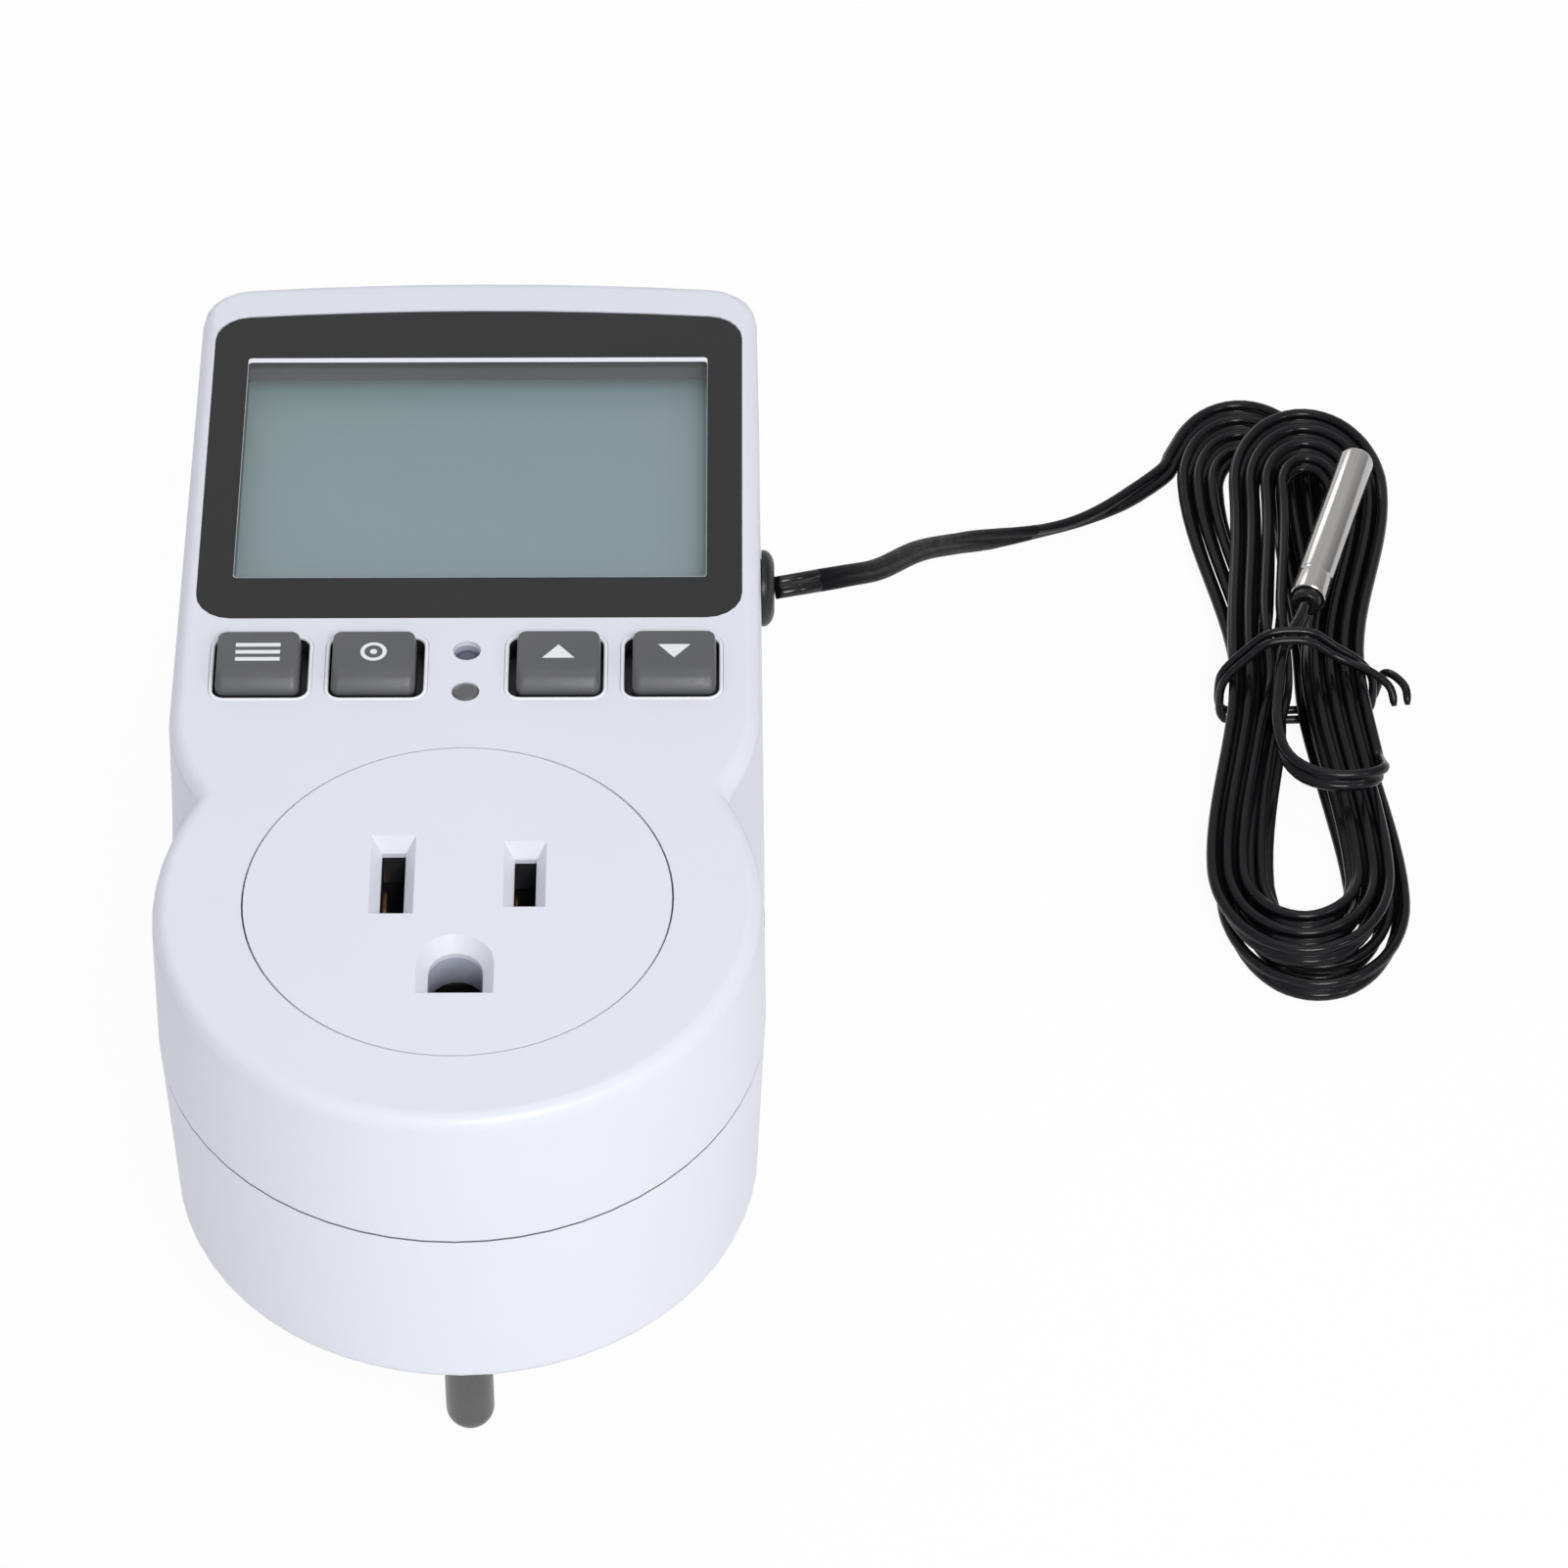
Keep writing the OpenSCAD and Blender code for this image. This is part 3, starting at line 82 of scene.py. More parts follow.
def addNoise(tree, place, scale, detail=3, stretch=(1, 1, 1)):
    mapping = tree.nodes.new("ShaderNodeMapping")
    mapping.inputs["Scale"].default_value = stretch
    tree.links.new(place, mapping.inputs["Vector"])
    texture = tree.nodes.new("ShaderNodeTexNoise")
    texture.inputs["Scale"].default_value = scale
    texture.inputs["Detail"].default_value = detail
    tree.links.new(mapping.outputs["Vector"], texture.inputs["Vector"])
    return texture.outputs["Fac"]


def addRange(tree, source, low, high, fromLow=0.3, fromHigh=0.7):
    remap = tree.nodes.new("ShaderNodeMapRange")
    for key, value in (("From Min", fromLow), ("From Max", fromHigh), ("To Min", low), ("To Max", high)):
        remap.inputs[key].default_value = value
    tree.links.new(source, remap.inputs["Value"])
    return remap.outputs["Result"]


def addMix(tree, factor, first, second):
    mix = tree.nodes.new("ShaderNodeMix")
    mix.data_type = "RGBA"
    tree.links.new(factor, mix.inputs["Factor"])
    for socket, value in ((mix.inputs["A"], first), (mix.inputs["B"], second)):
        if isinstance(value, bpy.types.NodeSocket):
            tree.links.new(value, socket)
        else:
            socket.default_value = (*value, 1)
    return mix.outputs["Result"]


def addBump(tree, shader, height, depth):
    bump = tree.nodes.new("ShaderNodeBump")
    bump.inputs["Distance"].default_value = depth * mm
    tree.links.new(height, bump.inputs["Height"])
    tree.links.new(bump.outputs["Normal"], shader.inputs["Normal"])


finishSizes = {"cloud": 40, "coatRough": 0.08}


def makeFinish(name, colour, tint, rough, roughSpread=0.04, grain=2600, depth=0.004, metallic=0, specular=0.5,
               coat=0, alpha=1, stretch=(1, 1, 1)):
    material, tree, shader, place = startMaterial(name)
    clouds = addRange(tree, addNoise(tree, place, finishSizes["cloud"]), 0, 1)
    tree.links.new(addMix(tree, clouds, colour, tint), shader.inputs["Base Color"])
    fine = addNoise(tree, place, grain, 2, stretch)
    tree.links.new(addRange(tree, fine, rough - roughSpread, rough + roughSpread), shader.inputs["Roughness"])
    addBump(tree, shader, fine, depth)
    shader.inputs["Metallic"].default_value = metallic
    shader.inputs["Specular IOR Level"].default_value = specular
    shader.inputs["Coat Weight"].default_value = coat
    shader.inputs["Coat Roughness"].default_value = finishSizes["coatRough"]
    shader.inputs["Alpha"].default_value = alpha
    return material


faceWhite = makeFinish("faceWhite", (0.775, 0.785, 0.855), (0.76, 0.77, 0.845), 0.34, 0.02, 1600, 0.001)
backWhite = makeFinish("backWhite", (0.79, 0.80, 0.865), (0.775, 0.785, 0.855), 0.36, depth=0.0015)
insertWhite = makeFinish("insertWhite", (0.78, 0.79, 0.86), (0.765, 0.775, 0.85), 0.34, depth=0.0015)
baseWhite = makeFinish("baseWhite", (0.74, 0.75, 0.80), (0.71, 0.72, 0.78), 0.45)
windowClear = makeFinish("windowClear", (0.9, 0.93, 0.94), (0.88, 0.92, 0.93), 0.06, 0.01, 900, 0.0005,
                         alpha=0.04, coat=0.3)
borderBlack = makeFinish("borderBlack", (0.0155, 0.0155, 0.0160), (0.0175, 0.0175, 0.0180), 0.3, 0.02, 1800,
                         0.0002, specular=0.4)
holderWhite = makeFinish("holderWhite", (0.85, 0.86, 0.88), (0.8, 0.81, 0.84), 0.5)
stripPink = makeFinish("stripPink", (0.56, 0.45, 0.42), (0.5, 0.41, 0.38), 0.7)
buttonGrey = makeFinish("buttonGrey", (0.108, 0.109, 0.115), (0.095, 0.096, 0.102), 0.40, 0.05, 2200, 0.006)
signWhite = makeFinish("signWhite", (0.86, 0.87, 0.88), (0.8, 0.81, 0.83), 0.5, 0.05, 5000, 0.002)
switchBlack = makeFinish("switchBlack", (0.02, 0.02, 0.022), (0.03, 0.03, 0.032), 0.5)
upperResin = makeFinish("upperResin", (0.105, 0.108, 0.145), (0.088, 0.090, 0.120), 0.2, 0.04, 800, 0.002,
                        coat=0.3)
lowerResin = makeFinish("lowerResin", (0.118, 0.113, 0.122), (0.100, 0.096, 0.103), 0.2, 0.04, 800, 0.002,
                        coat=0.2)
slotShade = makeFinish("slotShade", (0.020, 0.020, 0.025), (0.030, 0.030, 0.036), 0.4, 0.05, 900, 0.004)
seamShade = makeFinish("seamShade", (0.33, 0.33, 0.37), (0.28, 0.28, 0.32), 0.6, 0.05, 900, 0.004)
wellShade = makeFinish("wellShade", (0.46, 0.47, 0.56), (0.42, 0.43, 0.52), 0.5, 0.05, 900, 0.004)
paintedHighlightWhite = makeFinish("paintedHighlightWhite", (0.90, 0.91, 0.95), (0.87, 0.88, 0.93), 0.25, 0.04, 2600, 0.002)
paintedShadeGrey = makeFinish("paintedShadeGrey", (0.115, 0.112, 0.125), (0.095, 0.093, 0.105), 0.7, 0.06, 2400, 0.01)
contactBrass = makeFinish("contactBrass", (0.62, 0.36, 0.17), (0.40, 0.20, 0.10), 0.34, 0.08, 900, 0.004,
                          metallic=1, stretch=(1, 1, 0.2))
bladeNickel = makeFinish("bladeNickel", (0.46, 0.45, 0.43), (0.40, 0.39, 0.37), 0.26, 0.06, 1600, 0.003,
                         metallic=1, stretch=(1, 1, 0.08))
# The pin's nickel is painted far darker than the blades': painted shade for the dark it reflects
pinNickelPaintedShade = makeFinish("pinNickelPaintedShade", (0.185, 0.183, 0.178), (0.125, 0.123, 0.120), 0.26, 0.05, 1600, 0.002,
                       metallic=1, stretch=(1, 1, 0.08))
boardGreen = makeFinish("boardGreen", (0.04, 0.20, 0.08), (0.05, 0.25, 0.10), 0.3, 0.05, 700, 0.01)
boardTan = makeFinish("boardTan", (0.45, 0.27, 0.09), (0.38, 0.22, 0.07), 0.45, 0.05, 700, 0.01)
resinBlack = makeFinish("resinBlack", (0.015, 0.015, 0.016), (0.025, 0.025, 0.027), 0.5)
relayBlue = makeFinish("relayBlue", (0.03, 0.11, 0.38), (0.04, 0.13, 0.42), 0.3)
filmYellow = makeFinish("filmYellow", (0.6, 0.36, 0.02), (0.55, 0.32, 0.02), 0.35)
sleeveNavy = makeFinish("sleeveNavy", (0.02, 0.03, 0.09), (0.03, 0.04, 0.11), 0.25)
discBlue = makeFinish("discBlue", (0.03, 0.13, 0.35), (0.04, 0.15, 0.38), 0.3, 0.08, 400, 0.03)
wireBlack = makeFinish("wireBlack", (0.015, 0.016, 0.02), (0.02, 0.021, 0.026), 0.35)
wireRed = makeFinish("wireRed", (0.32, 0.02, 0.015), (0.28, 0.02, 0.015), 0.35)
wireWhite = makeFinish("wireWhite", (0.75, 0.75, 0.72), (0.7, 0.7, 0.68), 0.35)
screwZinc = makeFinish("screwZinc", (0.45, 0.46, 0.48), (0.36, 0.37, 0.39), 0.32, 0.08, 900, 0.006, metallic=1)
glandBlack = makeFinish("glandBlack", (0.011, 0.011, 0.012), (0.016, 0.016, 0.017), 0.38, 0.06, 1500, 0.004,
                        specular=0.4)
jacketBlack = makeFinish("jacketBlack", (0.004, 0.004, 0.0048), (0.006, 0.006, 0.007), 0.19, 0.04, 500, 0.002,
                         specular=0.25)
jacketMatte = makeFinish("jacketMatte", (0.007, 0.007, 0.008), (0.010, 0.010, 0.011), 0.45, 0.06, 500, 0.002,
                         specular=0.05)
jacketGloss = makeFinish("jacketGloss", (0.004, 0.004, 0.0048), (0.006, 0.006, 0.007), 0.16, 0.03, 500, 0.001,
                         specular=0.45)
nylonIvory = makeFinish("nylonIvory", (0.76, 0.72, 0.62), (0.72, 0.68, 0.58), 0.5)
tieBlack = makeFinish("tieBlack", (0.005, 0.005, 0.006), (0.008, 0.008, 0.009), 0.16, 0.04, 600, 0.003,
                      specular=0.25)
sealBlack = makeFinish("sealBlack", (0.006, 0.006, 0.006), (0.010, 0.010, 0.010), 0.3, 0.06, 900, 0.01,
                       specular=0.3)


# The display glass is blank: grey green, greener towards its left side, and darker along its far edge in
# painted shadow
glassSizes = {"halfWide": 24, "paintedShadowBand": (76.4, 78.8)}


def makeDisplayGlass():
    reach = glassSizes["halfWide"] * mm
    material, tree, shader, place = startMaterial("displayGlass")
    split = tree.nodes.new("ShaderNodeSeparateXYZ")
    tree.links.new(place, split.inputs["Vector"])
    across = addRange(tree, split.outputs["X"], 0, 1, -reach, reach)
    colour = addMix(tree, across, (0.190, 0.285, 0.268), (0.203, 0.285, 0.312))
    cloudy = addMix(tree, addRange(tree, addNoise(tree, place, 30), 0, 1), colour, (0.206, 0.292, 0.300))
    # The band along the far edge is painted shadow
    edge = addRange(tree, split.outputs["Y"], 0, 0.8, *(y * mm for y in glassSizes["paintedShadowBand"]))
    tree.links.new(addMix(tree, edge, cloudy, (0.10, 0.11, 0.12)), shader.inputs["Base Color"])
    fine = addNoise(tree, place, 3000)
    tree.links.new(addRange(tree, fine, 0.28, 0.36), shader.inputs["Roughness"])
    addBump(tree, shader, fine, 0.001)
    return material


# The ground hole's wall darkens between two heights, as the light dies away in it
holeHeights = (29.8, 35.3)


def makeHoleShade():
    material, tree, shader, place = startMaterial("holeShade")
    split = tree.nodes.new("ShaderNodeSeparateXYZ")
    tree.links.new(place, split.inputs["Vector"])
    depth = addRange(tree, split.outputs["Z"], 1, 0, *(z * mm for z in holeHeights))
    clouds = addRange(tree, addNoise(tree, place, 60), 0, 1)
    cloudy = addMix(tree, clouds, (0.56, 0.59, 0.69), (0.52, 0.55, 0.64))
    tree.links.new(addMix(tree, depth, cloudy, (0.012, 0.012, 0.014)), shader.inputs["Base Color"])
    fine = addNoise(tree, place, 900)
    tree.links.new(addRange(tree, fine, 0.4, 0.5), shader.inputs["Roughness"])
    addBump(tree, shader, fine, 0.003)
    return material


displayGlass = makeDisplayGlass()
holeShade = makeHoleShade()
print("materials made")


# Pieces: a mesh from points and faces, and the calls that every piece gets
def addPiece(name, mesh, material, body, slotName, *replaced):
    piece = bpy.data.objects.new(name, mesh)
    bpy.context.scene.collection.objects.link(piece)
    mesh.materials.clear()
    mesh.materials.append(material)
    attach(piece, body)
    if replaced:
        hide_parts(*replaced)
    return piece


def meshFromRings(name, rings, closeEnds=True, smoothAngle=180):
    count = len(rings[0])
    points = [point * mm for ring in rings for point in ring]
    faces = []
    for k in range(len(rings) - 1):
        for i in range(count):
            a, b = k * count + i, k * count + (i + 1) % count
            faces.append((a, b, b + count, a + count))
    if closeEnds:
        last = (len(rings) - 1) * count
        faces += [tuple(range(count - 1, -1, -1)), tuple(range(last, last + count))]
    mesh = bpy.data.meshes.new(name)
    mesh.from_pydata(points, [], faces)
    smoothByAngle(mesh, smoothAngle)
    return mesh


def roundedRing(x, y, wide, high, radius, z, steps):
    ring = []
    for corner, (sx, sy) in enumerate(((1, 1), (-1, 1), (-1, -1), (1, -1))):
        for k in range(steps + 1):
            angle = math.radians(90 * (corner + k / steps))
            ring.append(Vector((x + sx * (wide / 2 - radius) + radius * math.cos(angle),
                                y + sy * (high / 2 - radius) + radius * math.sin(angle), z)))
    return ring


def smoothByAngle(mesh, angle, keepNormals=False):
    work = bmesh.new()
    work.from_mesh(mesh)
    if not keepNormals:
        bmesh.ops.recalc_face_normals(work, faces=work.faces)
    for face in work.faces:
        face.smooth = True
    for edge in work.edges:
        edge.smooth = len(edge.link_faces) == 2 and edge.calc_face_angle(0) <= math.radians(angle)
    work.to_mesh(mesh)
    work.free()


# The cord: one flat twin cord from the gland, through the hank, to the probe
cordSizes = {"width": 2.4, "thick": 1.2, "step": 1.0, "groove": 64, "sides": 11, "glossy": 5, "matte": 22,
             "perRing": 4, "steps": 8}
hankSizes = {"x": 87, "y": 86, "farLength": 47.6, "farLess": 4.2, "farCrown": 13, "nearLength": 45.4,
             "nearLess": 1.6, "nearCrown": 14.2, "crownStep": 2.5, "lobe": 10.3, "lobeLean": 0.5, "ear": 8.4,
             "earLean": 3.2, "rings": 24, "pitch": 1.65, "layerStep": 2.9, "middleGap": 0.85, "first": 4,
             "last": 181, "climb": 6, "waistLift": 1.4, "run": 3, "fold": 6, "lowZ": -19.75}
glandExit = (30.47, 60.7, 20.8)
leadRoute = [(34, 61.8, 20.6), (38, 66, 17.6), (41.5, 73, 12), (46, 86, 2.5), (51, 98.6, -8),
             (55.8, 107, -15), (60.4, 112, -18.6), (65, 115, -19.7), (69.8, 118.2, -19.75)]
tailRoute = [(95.4, 70.4, -15), (95.4, 68.4, -13.7), (93.7, 66.8, -13), (90.6, 66.3, -12.8),
             (87.5, 67.2, -12.7), (85.4, 69.8, -12.7), (84.7, 73.8, -12.7), (84.8, 78.4, -12.7),
             (85.3, 83, -12.6), (86.2, 87, -12.4)]
# How far the broad side has turned over, in degrees, at shares of the free stretch
leadTurns = [(0, 30), (0.1, 44), (0.55, 40), (0.8, -35), (1, 35)]
probeSizes = {"start": (88.9, 94, -12.2), "end": (95.8, 118, -13.3), "radius": 2, "length": 25, "wall": 0.25,
              "sealOut": 1.2, "sealIn": 3, "sealRound": 0.45, "sealGap": 0.03, "sealMouth": 0.3, "edge": 0.1,
              "crimpFrom": 3, "crimpWidth": 1, "crimpIn": 0.07, "crimpSteps": 6, "tip": 0.9, "streak": 60}


def ease(s):
    s = min(max(s, 0), 1)
    return s * s * (3 - 2 * s)


def hankPoint(n):
    h = hankSizes
    turnedIn = min(n - h["first"], h["last"] - n) / h["rings"]
    level = ease((n - (h["first"] + h["last"]) / 2) / h["climb"] + 0.5)
    half = h["rings"] / 2
    i = n % h["rings"]
    far = i < half
    j = i if far else i - half
    left = -1 if far else 1
    lobe = (h["ear"] if far else h["lobe"])
    waist = h["middleGap"] + ((h["last"] - h["first"]) / 2 / h["rings"] - turnedIn) * h["pitch"]
    fold = (j - h["run"]) / h["fold"]
    s = j / h["run"] if fold < 0 else (half - j) / h["run"] if fold > 1 else 1
    side = left if fold < 0 else -left if fold > 1 else left * math.cos(math.pi * fold)
    x = side * (waist + (lobe - turnedIn * h["pitch"] - waist) * ease(s))
    x += (h["earLean"] * (2 * level - 1) if far else h["lobeLean"] * (1 - 2 * level)) * ease(s)
    end = "far" if far else "near"
    crown = h[end + "Crown"] - turnedIn * h["crownStep"]
    y = (h[end + "Length"] - h[end + "Less"] * level - h[end + "Crown"]) * s
    y += crown * math.sin(math.pi * fold) if 0 < fold < 1 else 0
    z = h["lowZ"] + h["waistLift"] * (1 - ease(s)) + h["layerStep"] * level
    return Vector((h["x"] + x, h["y"] + (y if far else -y), z))


def smoothRoute(points, steps):
    points = [Vector(p) for p in points]
    route = []
    for i in range(len(points) - 1):
        a, b, c, d = points[max(i - 1, 0)], points[i], points[i + 1], points[min(i + 2, len(points) - 1)]
        for k in range(steps):
            t = k / steps
            bend = a - b * 2.5 + c * 2 - d / 2 + t * ((b - c) * 1.5 + (d - a) / 2)
            route.append(b + t * ((c - a) / 2 + t * bend))
    return route + [points[-1]]


def evenly(points, step):
    lengths = [0]
    for a, b in zip(points, points[1:]):
        lengths.append(lengths[-1] + (b - a).length)
    count = max(round(lengths[-1] / step), 2)
    route, k = [], 0
    for i in range(count + 1):
        target = lengths[-1] * i / count
        while k < len(points) - 2 and lengths[k + 1] < target:
            k += 1
        span = lengths[k + 1] - lengths[k]
        route.append(points[k].lerp(points[k + 1], (target - lengths[k]) / span if span else 0))
    return route, lengths[-1]


def directionAt(points, i):
    return (points[min(i + 1, len(points) - 1)] - points[max(i - 1, 0)]).normalized()


# The flat cord's broad side leans outwards in the hank, its inner runs lean over each other at the waist, and
# it turns over along the free stretch
leanSizes = {"across": 5, "most": 0.8, "farwards": 0.8, "atWaist": 1.1, "waistReach": 12, "innerRuns": (1.6, 3),
             "settleFrom": 0.85, "settleOver": 0.15}


def broadSide(point, direction, fromStart, fromEnd):
    lean = leanSizes
    across = point.x - hankSizes["x"]
    outwards = min(max(across / lean["across"], -lean["most"]), lean["most"])
    share, width = lean["innerRuns"]
    inner = min(max(share - abs(across) / width, 0), 1)
    atWaist = (1 - ease(abs(point.y - hankSizes["y"]) / lean["waistReach"])) * inner
    outwards += (lean["atWaist"] - outwards) * atWaist
    broad = Vector((outwards, lean["farwards"], 1)).normalized()
    side = direction.cross(upward).normalized()
    if fromStart < 1:
        turned = 0
        for (a, first), (b, last) in zip(leadTurns, leadTurns[1:]):
            if a <= fromStart <= b:
                turned = math.radians(first + (last - first) * ease((fromStart - a) / (b - a)))
        leadSide = side.cross(direction) * math.cos(turned) - side * math.sin(turned)
        broad = leadSide.lerp(broad, ease((fromStart - lean["settleFrom"]) / lean["settleOver"]))
    if fromEnd < 1:
        broad = side.cross(direction).lerp(broad, ease(fromEnd))
    return (broad - direction * broad.dot(direction)).normalized()


# The least radius of a circle through three points that lie a few mm apart along the route
def tightestBend(route, span=3):
    least = 1000
    for a, b, c in zip(route, route[span:], route[2 * span:]):
        area = (b - a).cross(c - a).length / 2
        if area:
            least = min(least, (b - a).length * (c - b).length * (c - a).length / (4 * area))
    return least


def makeCord():
    h, c, p = hankSizes, cordSizes, probeSizes
    count = c["perRing"] * (h["last"] - h["first"])
    hank = [hankPoint(h["first"] + k / c["perRing"]) for k in range(count + 1)]
    into, out = (hank[1] - hank[0]).normalized(), (hank[-1] - hank[-2]).normalized()
    axis = (Vector(p["end"]) - Vector(p["start"])).normalized()
    lead = smoothRoute([glandExit, *leadRoute, hank[0] - 2 * c["width"] * into, hank[0] - c["width"] * into],
                       c["steps"])
    tail = smoothRoute([hank[-1] + c["width"] * out, hank[-1] + (c["width"] + c["thick"]) * out, *tailRoute,
                        Vector(p["start"]) - (c["width"] + p["sealOut"]) * axis,
                        Vector(p["start"]) - p["sealOut"] * axis], c["steps"])
    leadLength = evenly(lead, c["step"])[1]
    tailLength = evenly(tail, c["step"])[1]
    route, length = evenly(lead + hank + tail, c["step"])
    profile = []
    for sign in (1, -1):
        for k in range(c["sides"]):
            angle = math.radians(-c["groove"] + (180 + 2 * c["groove"]) * k / (c["sides"] - 1))
            profile.append((sign * c["thick"] / 2 * math.cos(angle),
                            sign * (c["thick"] / 2 + c["thick"] / 2 * math.sin(angle))))
    rings = []
    for i, point in enumerate(route):
        along = length * i / (len(route) - 1)
        direction = directionAt(route, i)
        wide = broadSide(point, direction, along / leadLength, (length - along) / tailLength)
        thin = wide.cross(direction)
        rings.append([point + a * thin + b * wide for a, b in profile])
    mesh = meshFromRings("sensorCord", rings)
    cord = addPiece("sensorCord", mesh, jacketBlack, "housing", "cord_jacket", "probe_lead", "lead_hank",
                    "probe_tail")
    cord.data.materials.append(jacketGloss)
    cord.data.materials.append(jacketMatte)
    for face in cord.data.polygons:  # bright at the gland, rubbed dull along the free stretch
        along = face.index // len(profile) * length / (len(route) - 1)
        if along < leadLength - c["matte"]:
            face.material_index = 1 if along < c["glossy"] else 2
    print("cord: lead, tail and whole length in mm:", round(leadLength), round(tailLength), round(length),
          "tightest bend:", round(tightestBend(route), 2))
    return cord, route, length


cord, cordRoute, cordLength = makeCord()


# Turned pieces: a closed outline starts and ends a hair off the axis
nearAxis = 0.01


def lathe(name, profile, origin, axis, segments=64, smoothAngle=40):
    turn = Vector(axis).to_track_quat("Z", "Y").to_matrix()
    rings = [[Vector(origin) + turn @ Vector((r * math.cos(a), r * math.sin(a), z))
              for a in (2 * math.pi * k / segments for k in range(segments))] for r, z in profile]
    return meshFromRings(name, rings, smoothAngle=smoothAngle)


def arcProfile(r, z, radius, start, stop, steps):
    return [(r + radius * math.cos(math.radians(start + (stop - start) * k / steps)),
             z + radius * math.sin(math.radians(start + (stop - start) * k / steps))) for k in range(steps + 1)]


# Steel: broad tan and grey bands along the sleeve are a painted reflection, and fine darker streaks along it
# are drawn marks
def makeSteelWithPaintedReflection():
    p = probeSizes
    material, tree, shader, place = startMaterial("steelWithPaintedReflection")
    mapping = tree.nodes.new("ShaderNodeMapping")
    mapping.vector_type = "TEXTURE"
    mapping.inputs["Location"].default_value = Vector(p["start"]) * mm
    axis = Vector(p["end"]) - Vector(p["start"])
    mapping.inputs["Rotation"].default_value = axis.to_track_quat("Z", "Y").to_euler()
    mapping.inputs["Scale"].default_value = (1, 1, p["streak"])
    tree.links.new(place, mapping.inputs["Vector"])
    broad, fine = (addNoise(tree, mapping.outputs["Vector"], scale, 2) for scale in (500, 6000))
    # The broad bands are painted reflection
    paintedReflectionBands = addMix(tree, addRange(tree, broad, 0, 1), (0.68, 0.645, 0.585), (0.50, 0.49, 0.475))
    tree.links.new(addMix(tree, addRange(tree, fine, 0, 0.4), paintedReflectionBands, (0.40, 0.395, 0.39)),
                   shader.inputs["Base Color"])
    tree.links.new(addRange(tree, fine, 0.14, 0.22), shader.inputs["Roughness"])
    addBump(tree, shader, fine, 0.001)
    shader.inputs["Metallic"].default_value = 1
    return material


steelWithPaintedReflection = makeSteelWithPaintedReflection()


# The probe: a drawn sleeve with a rolled crimp, and the sealing at its mouth
def makeProbe():
    p = probeSizes
    edge = p["edge"]
    start = Vector(p["start"])
    axis = (Vector(p["end"]) - start).normalized()
    bore = p["radius"] - p["wall"] - p["crimpIn"]
    outline = [(nearAxis, p["sealIn"]), (bore, p["sealIn"]), (bore, edge), (bore + edge, 0),
               (p["radius"] - edge, 0), (p["radius"], edge), (p["radius"], p["crimpFrom"])]
    for k in range(1, p["crimpSteps"]):
        depth = p["crimpIn"] * math.sin(math.pi * k / p["crimpSteps"])
        outline.append((p["radius"] - depth, p["crimpFrom"] + p["crimpWidth"] * k / p["crimpSteps"]))
    outline.append((p["radius"], p["crimpFrom"] + p["crimpWidth"]))
    outline += arcProfile(p["radius"] - p["tip"], p["length"] - p["tip"], p["tip"], 0, 90, 8)
    outline.append((nearAxis, p["length"]))
    sleeve = addPiece("probeSleeve", lathe("probeSleeve", outline, start, axis), steelWithPaintedReflection, "housing",
                      "probe_steel", "probe_sleeve")
    plug = [(nearAxis, -p["sealOut"]), (bore - 0.5, -p["sealOut"])]
    plug += arcProfile(bore - 0.5, p["sealRound"] - p["sealOut"], p["sealRound"], -90, 0, 5)
    outer = bore - p["sealGap"]
    plug += [(outer, p["sealMouth"]), (outer, p["sealIn"]), (nearAxis, p["sealIn"])]
    seal = addPiece("probeSeal", lathe("probeSeal", plug, start, axis), sealBlack, "housing", "seal_rubber",
                    "probe_seal")
    return sleeve, seal


probeSleeve, probeSeal = makeProbe()


# The tie goes twice round the waist, and its two ends stand side by side. Its tips taper.
tieSizes = {"radius": 0.46, "sides": 12, "step": 0.5, "steps": 8, "taper": (0.6, 0.9, 1)}
tieRoute = [(97.7, 80.4, -15.4), (97.2, 82, -14), (95.1, 83.4, -13), (92.9, 84.4, -12.7), (91, 85, -12),
            (88.7, 85.4, -10.6), (86.2, 85.4, -10.3), (83.83, 85.1, -10.6), (81.99, 84.6, -12.1),
            (80.4, 84, -13.4), (79.23, 83.5, -15), (78.98, 83.3, -17.1), (79.23, 83.3, -19.4),
            (80.66, 83.4, -20.4), (87, 83.6, -20.5), (93.7, 83.9, -20.4), (95.4, 84.1, -19.4),
            (95.7, 84.4, -17.1), (95.4, 84.9, -15), (93.9, 85.6, -13.4), (91.5, 86.3, -12.1),
            (89.2, 86.8, -10.6), (86.5, 86.9, -10.3), (83.92, 86.6, -10.6), (81.99, 86.1, -12.1),
            (80.4, 85.5, -13.4), (79.15, 85, -15), (78.9, 84.8, -17.1), (79.15, 84.8, -19.4),
            (80.66, 84.9, -20.4), (87, 85.1, -20.5), (93.7, 85.4, -20.4), (95.7, 85.6, -19.4),
            (96.4, 85.7, -17.1), (96.8, 85.3, -15.2), (97.7, 83.8, -14), (98.9, 81.9, -14),
            (99.1, 80.2, -15)]


def makeTie():
    route, length = evenly(smoothRoute(tieRoute, tieSizes["steps"]), tieSizes["step"])
    rings = []
    lean = Vector((0, 4, 3)) / 5
    for i, point in enumerate(route):
        direction = directionAt(route, i)
        side = direction.cross(lean).normalized()
        top = side.cross(direction)
        ends = min(i, len(route) - 1 - i)
        radius = tieSizes["radius"] * tieSizes["taper"][min(ends, 2)]
        rings.append([point + radius * (math.cos(a) * side + math.sin(a) * top)
                      for a in (2 * math.pi * k / tieSizes["sides"] for k in range(tieSizes["sides"]))])
    return addPiece("hankTie", meshFromRings("hankTie", rings), tieBlack, "housing", "tie_wire", "hank_tie")


hankTie = makeTie()
print("probe and tie made")


